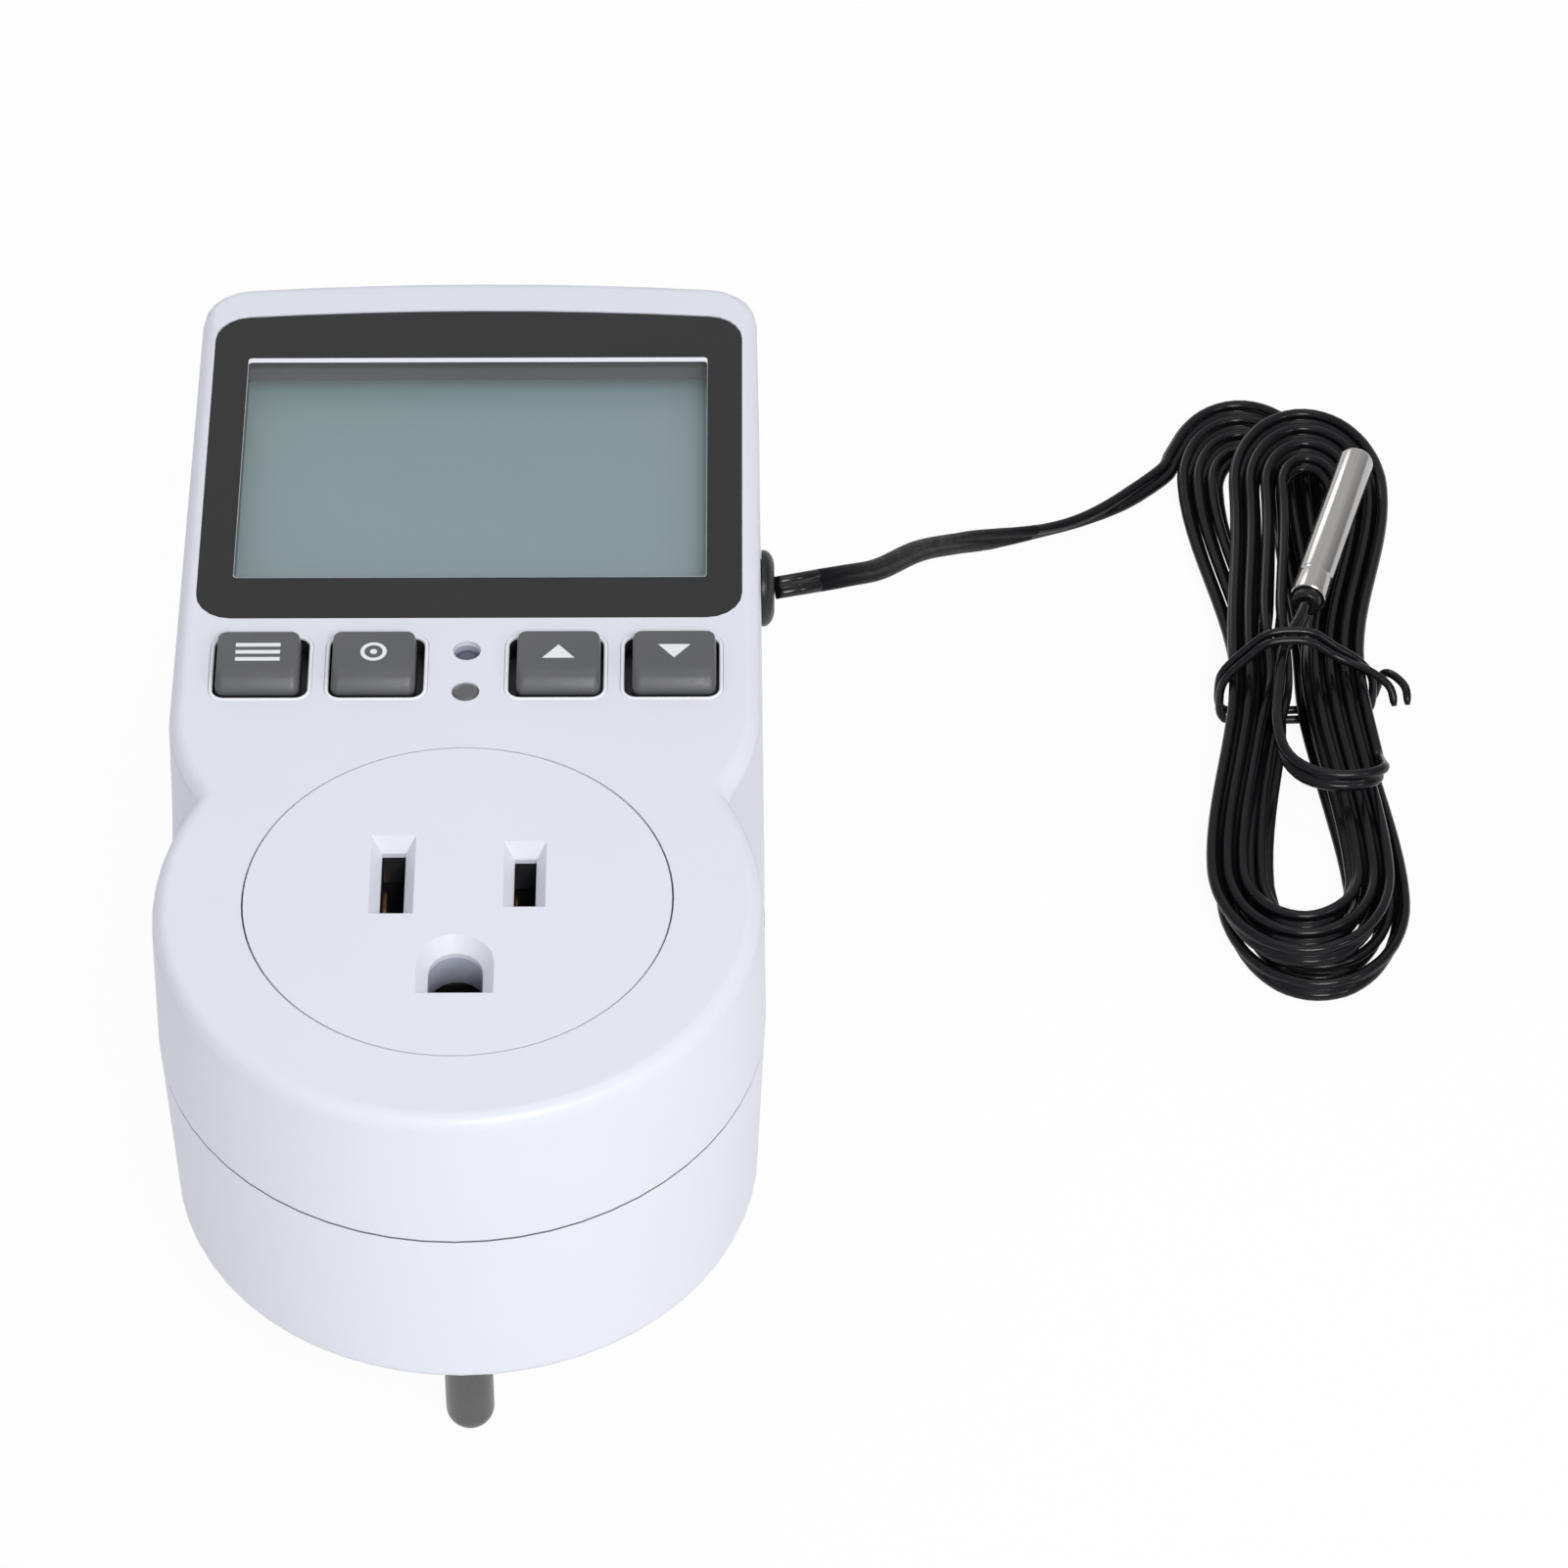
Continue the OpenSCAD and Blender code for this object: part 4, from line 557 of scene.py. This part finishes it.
# The gland: a rubber grommet whose head is rounded at its rim
glandSizes = {"head": 3.95, "headThick": 1.35, "headEdge": 0.1, "neck": 3, "back": 3.9, "backThick": 1.5,
              "backEdge": 0.2, "bulge": (1.8, 1.15), "bulgeSteps": 12,
              "mouth": [(1.7, 0), (1.45, 0.2), (nearAxis, 0.25)]}


def makeGland():
    g = glandSizes
    low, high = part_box("probe_gland")
    depth = (high.x - low.x) / mm
    origin = Vector((low.x / mm, glandExit[1], glandExit[2]))
    under = depth - g["headThick"]
    outline = [(nearAxis, 0), (g["back"] - g["backEdge"], 0), (g["back"], g["backEdge"]),
               (g["back"], g["backThick"]), (g["neck"], g["backThick"]), (g["neck"], under),
               (g["head"] - g["headEdge"], under), (g["head"], under + g["headEdge"])]
    across, deep = g["bulge"]
    for k in range(1, g["bulgeSteps"] + 1):
        angle = math.pi / 2 * k / g["bulgeSteps"]
        outline.append((g["head"] - across * (1 - math.cos(angle)), depth - deep * (1 - math.sin(angle))))
    outline += [(radius, depth - below) for radius, below in g["mouth"]]
    return addPiece("cordGland", lathe("cordGland", outline, origin, (1, 0, 0)), glandBlack, "housing",
                    "gland_rubber", "probe_gland")


makeGland()


# The window pane lies on a grey frame that turns down into the opening, a dark sheet that is painted shade, and
# the film's opening has a fine white edge of painted highlight. The frame's profile is a list of distances
# outwards from the clear opening, and heights.
windowSizes = {"halfWide": 23.65, "midY": 61.6, "halfHigh": 16.6, "corner": 0.4, "leastCorner": 0.2,
               "cornerSteps": 4, "paneLow": 35.6, "inset": 0.02,
               "shadeSheet": [(0.04, 33.98), (0.27, 33.98), (0.27, 35.47), (0.95, 35.47), (0.95, 35.59),
                        (0.04, 35.59)],
               "edge": {"sides": 0.04, "low": 0.09, "high": 0.62, "lowZ": 36.97, "highZ": 37.05}}


def makeWindowFrame(name, profile, material, slotName):
    w = windowSizes
    rings = [roundedRing(0, w["midY"], 2 * (w["halfWide"] + out), 2 * (w["halfHigh"] + out),
                         max(w["corner"] + out, w["leastCorner"]), z, w["cornerSteps"]) for out, z in profile]
    mesh = meshFromRings(name, rings + rings[:1], closeEnds=False, smoothAngle=40)
    addPiece(name, mesh, material, "housing", slotName)


def makeWindow():
    pane = polishNode("display_lens", "windowPane", windowClear, "window", 0.1)
    for vertex in pane.data.vertices:
        vertex.co.z = max(vertex.co.z, windowSizes["paneLow"] * mm)
    # The dark frame is painted shade
    makeWindowFrame("windowShadeSheet", windowSizes["shadeSheet"], paintedShadeGrey, "strip_rubber")
    w, e = windowSizes, windowSizes["edge"]
    shift, inner = (e["low"] - e["high"]) / 2, 2 * w["halfHigh"] - e["low"] - e["high"]
    wide = roundedRing(0, w["midY"], 2 * w["halfWide"] - w["inset"], 2 * w["halfHigh"] - w["inset"],
                       w["corner"], 0, w["cornerSteps"])
    narrow = roundedRing(0, w["midY"] + shift, 2 * (w["halfWide"] - e["sides"]), inner, w["corner"], 0,
                         w["cornerSteps"])
    low, high = Vector((0, 0, e["lowZ"])), Vector((0, 0, e["highZ"]))
    levels = ((narrow, low), (wide, low), (wide, high), (narrow, high))
    rings = [[p + level for p in ring] for ring, level in levels]
    mesh = meshFromRings("windowEdge", rings + rings[:1], closeEnds=False, smoothAngle=30)
    # The edge's white is lighter than the housing's: painted highlight
    addPiece("windowEdge", mesh, paintedHighlightWhite, "housing", "border_film")


keys = {"mode": -20.25, "set": -8.85, "up": 8.85, "down": 20.25}


# Rigid mouldings: a merged copy of the solid with its edges broken, so that they catch the light
polishing = {"weld": 0.002, "flatAngle": 0.4, "cut": 0.001, "sharpAngle": 32, "smoothAngle": 40}


def polishNode(node, name, material, slotName, edge=0.0, cutZ=None):
    source = nodes[node].data
    mesh = bpy.data.meshes.new(name)
    mesh.from_pydata([v.co[:] for v in source.vertices], [], [f.vertices[:] for f in source.polygons])
    work = bmesh.new()
    work.from_mesh(mesh)
    bmesh.ops.remove_doubles(work, verts=work.verts, dist=polishing["weld"] * mm)
    bmesh.ops.dissolve_limit(work, angle_limit=math.radians(polishing["flatAngle"]), verts=work.verts,
                             edges=work.edges)
    if cutZ:
        whole = work.verts[:] + work.edges[:] + work.faces[:]
        bmesh.ops.bisect_plane(work, geom=whole, plane_co=(0, 0, cutZ * mm), plane_no=(0, 0, 1),
                               dist=polishing["cut"] * mm)
    if edge:
        sharp = math.radians(polishing["sharpAngle"])
        corners = [e for e in work.edges if len(e.link_faces) == 2 and e.calc_face_angle(0) > sharp]
        bmesh.ops.bevel(work, geom=corners, offset=edge * mm, segments=2, profile=0.5, affect="EDGES",
                        clamp_overlap=True)
    work.to_mesh(mesh)
    work.free()
    smoothByAngle(mesh, polishing["smoothAngle"], keepNormals=True)
    piece = addPiece(name, mesh, material, "housing", slotName, node)
    weighted = piece.modifiers.new("weighted", "WEIGHTED_NORMAL")
    weighted.keep_sharp = True
    return piece


# Inside the insert the light dies away: the walls below the flares are darker, the ground hole's less so
insertHoles = {"shadeFrom": 35.15, "slotX": 6.35, "slotY": 3.28, "slotReach": (2.8, 5.2), "groundY": -8.61,
               "groundReach": 4.2}


def shadeHoles(piece):
    s = insertHoles
    piece.data.materials.append(slotShade)
    piece.data.materials.append(holeShade)
    for face in piece.data.polygons:
        x, y, z = face.center / mm
        if z < s["shadeFrom"]:
            if abs(abs(x) - s["slotX"]) < s["slotReach"][0] and abs(y - s["slotY"]) < s["slotReach"][1]:
                face.material_index = 1
            elif abs(x) < s["groundReach"] and abs(y - s["groundY"]) < s["groundReach"]:
                face.material_index = 2


# What is seen only down a gap of the shells gets painted shade: button holes, the upper lamp's hole and the
# seam
gapSizes = {"tongueZ": 20.67, "seamZ": 21.1, "holeZ": 37.08, "level": 0.6, "keysY": 31.95,
            "keyReach": (5.4, 4.8), "lampY": 34.3, "lampReach": 2}


def shadeGaps(piece):
    g = gapSizes
    reachX, reachY = g["keyReach"]
    for material in (slotShade, wellShade, seamShade):
        piece.data.materials.append(material)
    for face in piece.data.polygons:
        x, y, z = face.center / mm
        if z < g["seamZ"]:
            face.material_index = 3
        elif z < g["holeZ"] and abs(face.normal.z) < g["level"]:
            if abs(y - g["keysY"]) < reachY and min(abs(x - key) for key in keys.values()) < reachX:
                face.material_index = 1
            elif math.hypot(x, y - g["lampY"]) < g["lampReach"]:
                face.material_index = 2


frontShell = polishNode("front_shell", "frontShell", faceWhite, "face_plastic", 0.14)
shadeGaps(frontShell)
rearShell = polishNode("rear_shell", "rearShell", backWhite, "back_plastic", 0.14)
# The rear shell's tongue, seen only down the seam, gets painted shade
rearShell.data.materials.append(seamShade)
for face in rearShell.data.polygons:
    if face.center.z > gapSizes["tongueZ"] * mm:
        face.material_index = 1
shadeHoles(polishNode("socket_insert", "socketInsert", insertWhite, "insert_plastic", 0.08,
                      cutZ=insertHoles["shadeFrom"]))
polishNode("plug_base", "plugBase", baseWhite, "base_plastic")
polishNode("ground_pin", "groundPin", pinNickelPaintedShade, "pin_nickel")
polishNode("line_blade", "lineBlade", bladeNickel, "blade_nickel", 0.12)
polishNode("neutral_blade", "neutralBlade", bladeNickel, "blade_nickel", 0.12)
for side in ("line", "neutral", "ground"):
    polishNode(side + "_contact", side + "Contact", contactBrass, "contact_brass", 0.05)
makeWindow()
print("mouldings polished")


# Buttons: a cap whose near edge falls away in a wide round, its flange and its post
buttonSizes = {"wide": 8.3, "high": 7.5, "lowY": 28.2, "corner": 0.8, "side": 0.3, "near": 2.7, "far": 0.4,
               "drop": 1.8, "aside": 0.25, "shadeFrom": 36.5, "topZ": 38.8, "flangeLow": 34.15,
               "flangeTop": 34.95, "flangeEdge": (0.3, 0.15), "flangeCorner": 1.2, "margin": 1.1,
               "postLow": 33.2, "postRadius": 2.2, "cornerSteps": 6, "smoothAngle": 38,
               "fall": [(0, 1), (0.005, 0.9), (0.03, 0.78), (0.08, 0.66), (0.15, 0.53), (0.23, 0.40),
                        (0.32, 0.27), (0.41, 0.165), (0.51, 0.09), (0.63, 0.04), (0.79, 0.01), (1, 0)]}


def makeButton(key, x):
    b = buttonSizes
    x += math.copysign(b["aside"], x)  # each cap sits a little to the outside of its hole
    y = b["lowY"] + b["high"] / 2
    steps = b["cornerSteps"]
    wide, high = b["wide"] + 2 * b["margin"], b["high"] + 2 * b["margin"]
    trim, bevel = b["flangeEdge"]
    levels = ((trim, b["flangeLow"]), (0, b["flangeLow"] + bevel), (0, b["flangeTop"] - bevel),
              (trim, b["flangeTop"]))
    flange = [roundedRing(x, y, wide - less, high - less, b["flangeCorner"], z, steps) for less, z in levels]
    post = [roundedRing(x, y, 2 * b["postRadius"], 2 * b["postRadius"], b["postRadius"] - 0.01, z, steps)
            for z in (b["postLow"], b["flangeLow"])]
    cap = [roundedRing(x, y, b["wide"], b["high"], b["corner"], b["flangeTop"], steps)]
    for drawn, below in b["fall"]:
        cap.append(roundedRing(x, y + (b["near"] - b["far"]) * drawn / 2, b["wide"] - 2 * b["side"] * drawn,
                               b["high"] - (b["near"] + b["far"]) * drawn, b["corner"],
                               b["topZ"] - b["drop"] * below, steps))
    mesh = meshFromRings(key + "Button", post + flange + cap, smoothAngle=b["smoothAngle"])
    piece = addPiece(key + "Button", mesh, buttonGrey, key + "_key", "button_plastic", key + "_button")
    # Below the cap, down the gap, the button gets painted shade
    piece.data.materials.append(slotShade)
    for face in piece.data.polygons:
        face.material_index = face.center.z < b["shadeFrom"] * mm  # dark down the gap


# Printed signs stand in for words: bars, a ring with a dot in it, and two arrows
signSizes = {"lift": 0.015, "thick": 0.03, "y": 32.5, "bar": (4.4, 0.5), "gap": 1.0, "ring": (1.3, 0.9),
             "dot": 0.35, "arrow": (3.2, 1.9)}


def flatShape(outlines, key, x):
    s = signSizes
    x += math.copysign(buttonSizes["aside"], x)
    z = buttonSizes["topZ"] + s["lift"]
    work = bmesh.new()
    for outline, hole in outlines:
        def ringOf(points, height):
            return [work.verts.new(Vector((x + px, s["y"] + py, height)) * mm) for px, py in points]
        tops, bottoms = ringOf(outline, z), ringOf(outline, z - s["thick"])
        count = len(outline)
        for i in range(count):
            work.faces.new((bottoms[i], bottoms[(i + 1) % count], tops[(i + 1) % count], tops[i]))
        if hole:
            innerTops, innerBottoms = ringOf(hole, z), ringOf(hole, z - s["thick"])
            for i in range(count):
                j = (i + 1) % count
                work.faces.new((tops[i], tops[j], innerTops[j], innerTops[i]))
                work.faces.new((bottoms[j], bottoms[i], innerBottoms[i], innerBottoms[j]))
                work.faces.new((innerTops[i], innerTops[j], innerBottoms[j], innerBottoms[i]))
        else:
            work.faces.new(tops)
            work.faces.new(bottoms[::-1])
    bmesh.ops.recalc_face_normals(work, faces=work.faces)
    mesh = bpy.data.meshes.new(key + "Sign")
    work.to_mesh(mesh)
    work.free()
    addPiece(key + "Sign", mesh, signWhite, key + "_key", "button_plastic")


def circle(radius, steps=40):
    return [(radius * math.cos(2 * math.pi * k / steps), radius * math.sin(2 * math.pi * k / steps))
            for k in range(steps)]


def makeSigns():
    s = signSizes
    wide, high = s["bar"][0] / 2, s["bar"][1] / 2
    bars = [([(-wide, y - high), (wide, y - high), (wide, y + high), (-wide, y + high)], None)
            for y in (-s["gap"], 0, s["gap"])]
    flatShape(bars, "mode", keys["mode"])
    outer, inner = s["ring"]
    flatShape([(circle(outer), circle(inner)), (circle(s["dot"]), None)], "set", keys["set"])
    half, tall = s["arrow"][0] / 2, s["arrow"][1] / 2
    flatShape([([(-half, -tall), (half, -tall), (0, tall)], None)], "up", keys["up"])
    flatShape([([(-half, tall), (0, -tall), (half, tall)], None)], "down", keys["down"])


# A half-round lip runs round each button hole and catches the light. Its white, lighter than the housing's, is
# painted highlight
rimSizes = {"gap": 0.5, "corner": 1.2, "wide": 0.42, "lowZ": 37.02, "rise": 0.26, "steps": 6, "clear": 0.01,
            "cornerSteps": 8}


def makeRims():
    r, b = rimSizes, buttonSizes
    whole = bmesh.new()
    for x in keys.values():
        rings = []
        for k in range(r["steps"] + 1):
            angle = math.pi * k / r["steps"]
            grow = r["gap"] + r["wide"] / 2 * (1 - math.cos(angle)) + r["clear"]
            rings.append(roundedRing(x, b["lowY"] + b["high"] / 2, b["wide"] + 2 * grow, b["high"] + 2 * grow,
                                     r["corner"] + grow - r["gap"], r["lowZ"] + r["rise"] * math.sin(angle),
                                     r["cornerSteps"]))
        part = meshFromRings("rimPart", rings + rings[:1], closeEnds=False, smoothAngle=50)
        whole.from_mesh(part)
        bpy.data.meshes.remove(part)
    mesh = bpy.data.meshes.new("buttonRims")
    whole.to_mesh(mesh)
    whole.free()
    addPiece("buttonRims", mesh, paintedHighlightWhite, "housing", "face_plastic")


for key, x in keys.items():
    makeButton(key, x)
makeSigns()
makeRims()
print("buttons made")


# Lamps: a flanged resin body whose lens nearly fills its hole
lampSizes = {"upper": (34.3, 36.2), "lower": (28.5, 37.2), "radius": 1.28, "flange": 1.9, "flangeHigh": 1,
             "flangeEdge": 0.1, "lowZ": 28.6, "crown": 0.25, "crownPower": 0.6, "crownSteps": 9, "sides": 48,
             "rim": [(1.36, 36.7), (1.36, 37.17), (1.39, 37.21), (1.83, 37.21), (1.86, 37.19)]}


def makeLens(key, resin):
    s = lampSizes
    y, top = s[key]
    high, edge = top - s["lowZ"], s["flangeEdge"]
    outline = [(nearAxis, 0), (s["flange"] - edge, 0), (s["flange"], edge),
               (s["flange"], s["flangeHigh"] - edge), (s["flange"] - edge, s["flangeHigh"]),
               (s["radius"], s["flangeHigh"]), (s["radius"], high - s["crown"])]
    for k in range(1, s["crownSteps"]):
        angle = math.pi / 2 * k / s["crownSteps"]
        outline.append((s["radius"] * math.cos(angle) ** s["crownPower"],
                        high - s["crown"] * (1 - math.sin(angle))))
    outline.append((nearAxis, high))
    mesh = lathe(key + "Lamp", outline, (0, y, s["lowZ"]), upward, s["sides"])
    addPiece(key + "Lamp", mesh, resin, "housing", "lamp_resin", key + "_led")


# A thin ring fills the flare of each lamp hole
def makeLampRims():
    whole = bmesh.new()
    for key in ("upper", "lower"):
        y = lampSizes[key][0]
        rings = [[Vector((px, y + py, z)) for px, py in circle(radius, 64)] for radius, z in lampSizes["rim"]]
        part = meshFromRings("lampRim", rings + rings[:1], closeEnds=False, smoothAngle=30)
        whole.from_mesh(part)
        bpy.data.meshes.remove(part)
    mesh = bpy.data.meshes.new("lampRims")
    whole.to_mesh(mesh)
    whole.free()
    addPiece("lampRims", mesh, faceWhite, "housing", "face_plastic")


makeLampRims()
makeLens("upper", upperResin)
makeLens("lower", lowerResin)


# Housing screws: one tree makes a cross-headed screw and sets it at each place
screwSizes = {"places": [(22.6, 84.8), (-22.6, 84.8), (16.64, -17.84), (-16.64, -17.84)], "seatZ": 14.6,
              "headRadius": 2.4, "headHeight": 1.8, "shankRadius": 1.2, "bite": 12, "crossWide": 0.7,
              "crossLong": 2.6, "crossDeep": 1.1, "sides": 40}


def makeScrews():
    s = screwSizes
    tree = bpy.data.node_groups.new("crossHeadScrews", "GeometryNodeTree")
    tree.interface.new_socket("Geometry", in_out="INPUT", socket_type="NodeSocketGeometry")
    tree.interface.new_socket("Geometry", in_out="OUTPUT", socket_type="NodeSocketGeometry")
    names = ("headRadius", "headHeight", "shankRadius", "bite")
    sockets = {key: tree.interface.new_socket(key, in_out="INPUT", socket_type="NodeSocketFloat")
               for key in names}
    source, target = tree.nodes.new("NodeGroupInput"), tree.nodes.new("NodeGroupOutput")
    add, link = tree.nodes.new, tree.links.new

    def moved(node, x, y, z):
        shift = add("GeometryNodeTransform")
        shift.inputs["Translation"].default_value = (x, y, z)
        link(node.outputs[0], shift.inputs["Geometry"])
        return shift

    head, shank = add("GeometryNodeMeshCylinder"), add("GeometryNodeMeshCylinder")
    for cylinder, radius, depth in ((head, "headRadius", "headHeight"), (shank, "shankRadius", "bite")):
        cylinder.inputs["Vertices"].default_value = s["sides"]
        link(source.outputs[radius], cylinder.inputs["Radius"])
        link(source.outputs[depth], cylinder.inputs["Depth"])
    slots = []
    for size in ((s["crossLong"], s["crossWide"]), (s["crossWide"], s["crossLong"])):
        cube = add("GeometryNodeMeshCube")
        cube.inputs["Size"].default_value = (size[0] * mm, size[1] * mm, 2 * s["crossDeep"] * mm)
        slots.append(moved(cube, 0, 0, -s["headHeight"] * mm))
    cut = add("GeometryNodeMeshBoolean")
    cut.operation = "DIFFERENCE"
    link(moved(head, 0, 0, -s["headHeight"] / 2 * mm).outputs[0], cut.inputs["Mesh 1"])
    for slot in slots:
        link(slot.outputs[0], cut.inputs["Mesh 2"])
    join, spread = add("GeometryNodeJoinGeometry"), add("GeometryNodeInstanceOnPoints")
    for part in (cut, moved(shank, 0, 0, s["bite"] / 2 * mm)):
        link(part.outputs[0], join.inputs["Geometry"])
    realize, paint = add("GeometryNodeRealizeInstances"), add("GeometryNodeSetMaterial")
    paint.inputs["Material"].default_value = screwZinc
    link(source.outputs["Geometry"], spread.inputs["Points"])
    link(join.outputs[0], spread.inputs["Instance"])
    link(spread.outputs[0], realize.inputs[0])
    link(realize.outputs[0], paint.inputs["Geometry"])
    link(paint.outputs[0], target.inputs[0])
    places = bpy.data.meshes.new("screwPlaces")
    places.from_pydata([Vector((x, y, s["seatZ"])) * mm for x, y in s["places"]], [], [])
    holder = bpy.data.objects.new("screwPlaces", places)
    bpy.context.scene.collection.objects.link(holder)
    modifier = holder.modifiers.new("screws", "NODES")
    modifier.node_group = tree
    for key in names:
        modifier[sockets[key].identifier] = s[key] * mm
    evaluated = holder.evaluated_get(bpy.context.evaluated_depsgraph_get())
    mesh = bpy.data.meshes.new_from_object(evaluated)
    mesh.name = "housingScrews"
    holder.modifiers.remove(modifier)
    bpy.data.objects.remove(holder)
    smoothByAngle(mesh, 35, keepNormals=True)
    addPiece("housingScrews", mesh, screwZinc, "housing", "screw_steel", "housing_screws")


makeScrews()
print("screws made")


# Every other solid keeps its own shape and takes its finish
finishes = {
    "lens_border": borderBlack, "lcd_panel": displayGlass, "lcd_holder": holderWhite,
    "contact_strips": stripPink, "switch_bodies": switchBlack,
    "control_board": boardGreen, "control_chip": resinBlack, "power_board": boardTan, "board_link": resinBlack,
    "relay": relayBlue, "film_capacitor": filmYellow, "electrolytic_capacitor": sleeveNavy,
    "varistor": discBlue, "fuse": resinBlack, "bridge_rectifier": resinBlack, "line_wire": wireBlack,
    "load_wire": wireRed, "neutral_wire": wireWhite, "insert_screws": screwZinc, "plug_base_screws": screwZinc,
    "control_board_screws": screwZinc, "power_board_screws": screwZinc, "inner_lead": jacketBlack,
    "lead_connector": nylonIvory, "mode_plunger": switchBlack, "set_plunger": switchBlack,
    "up_plunger": switchBlack, "down_plunger": switchBlack}
for node, material in finishes.items():
    nodes[node].data.materials.clear()
    nodes[node].data.materials.append(material)
print("finishes set")


# Floor, world and lamps
studio = {"floorZ": -21, "floorSize": 4000, "ambient": 0.65, "ambientSides": 0.28, "sideways": (0.35, 0.95),
          "aim": (15, 30, 10),
          "floorWhite": {"Is Camera Ray": 0.95, "Is Glossy Ray": 0.45, "Is Transmission Ray": 0.95},
          "lamps": [("keyLamp", (270, -751, 827), 450, 6.2), ("topLamp", (150, 250, 1100), 500, 0.8),
                    ("sideLamp", (816, -514, 630), 200, 0.9), ("backCard", (-364, 1138, 384), 450, 0.8)]}


def makeFloor():
    half = studio["floorSize"] / 2
    mesh = bpy.data.meshes.new("floor")
    mesh.from_pydata([Vector((x, y, studio["floorZ"])) * mm for x, y in
                      ((-half, -half), (half, -half), (half, half), (-half, half))], [], [(0, 1, 2, 3)])
    floor = bpy.data.objects.new("floor", mesh)
    bpy.context.scene.collection.objects.link(floor)
    material = bpy.data.materials.new("paleFloor")
    material.use_nodes = True
    tree = material.node_tree
    shader = tree.nodes["Principled BSDF"]
    shader.inputs["Base Color"].default_value = (0.9, 0.9, 0.92, 1)
    shader.inputs["Roughness"].default_value = 0.9
    glow, mix, path = (tree.nodes.new("ShaderNode" + kind) for kind in ("Emission", "MixShader", "LightPath"))
    total = None
    for output, share in studio["floorWhite"].items():
        part = tree.nodes.new("ShaderNodeMath")
        part.operation = "MULTIPLY_ADD"
        part.inputs[1].default_value = share
        part.inputs[2].default_value = 0
        tree.links.new(path.outputs[output], part.inputs[0])
        if total:
            tree.links.new(total, part.inputs[2])
        total = part.outputs[0]
    tree.links.new(total, mix.inputs["Fac"])
    tree.links.new(shader.outputs[0], mix.inputs[1])
    tree.links.new(glow.outputs[0], mix.inputs[2])
    tree.links.new(mix.outputs[0], tree.nodes["Material Output"].inputs["Surface"])
    mesh.materials.append(material)


# The world is white to the camera, and for everything else it grows dimmer towards both sides
def makeWorld():
    world = bpy.data.worlds.new("studioWorld")
    world.use_nodes = True
    tree = world.node_tree
    link = tree.links.new
    ambient = tree.nodes["Background"]
    ambient.inputs["Color"].default_value = (0.96, 0.97, 1, 1)
    split = tree.nodes.new("ShaderNodeSeparateXYZ")
    link(tree.nodes.new("ShaderNodeTexCoord").outputs["Generated"], split.inputs["Vector"])
    sideways = tree.nodes.new("ShaderNodeMath")
    sideways.operation = "ABSOLUTE"
    link(split.outputs["X"], sideways.inputs[0])
    link(addRange(tree, sideways.outputs[0], studio["ambient"], studio["ambientSides"], *studio["sideways"]),
         ambient.inputs["Strength"])
    kinds = ("Background", "MixShader", "LightPath")
    white, mix, path = (tree.nodes.new("ShaderNode" + kind) for kind in kinds)
    white.inputs["Color"].default_value = (1, 1, 1, 1)
    seen = tree.nodes.new("ShaderNodeMath")
    seen.operation = "MAXIMUM"
    link(path.outputs["Is Camera Ray"], seen.inputs[0])
    link(path.outputs["Is Transmission Ray"], seen.inputs[1])
    link(seen.outputs[0], mix.inputs["Fac"])
    link(ambient.outputs[0], mix.inputs[1])
    link(white.outputs[0], mix.inputs[2])
    link(mix.outputs[0], tree.nodes["World Output"].inputs["Surface"])
    bpy.context.scene.world = world


def makeLamps():
    aim = Vector(studio["aim"])
    for name, place, size, power in studio["lamps"]:
        lamp = bpy.data.objects.new(name, bpy.data.lights.new(name, "AREA"))
        lamp.data.shape = "DISK"
        lamp.data.size = size * mm
        lamp.data.energy = power
        turn = (Vector(place) - aim).to_track_quat("Z", "Y").to_matrix().to_4x4()
        lamp.matrix_world = Matrix.Translation(Vector(place) * mm) @ turn
        bpy.context.scene.collection.objects.link(lamp)


makeFloor()
makeWorld()
makeLamps()
bpy.context.scene.view_settings.view_transform = "Standard"
print("studio set")
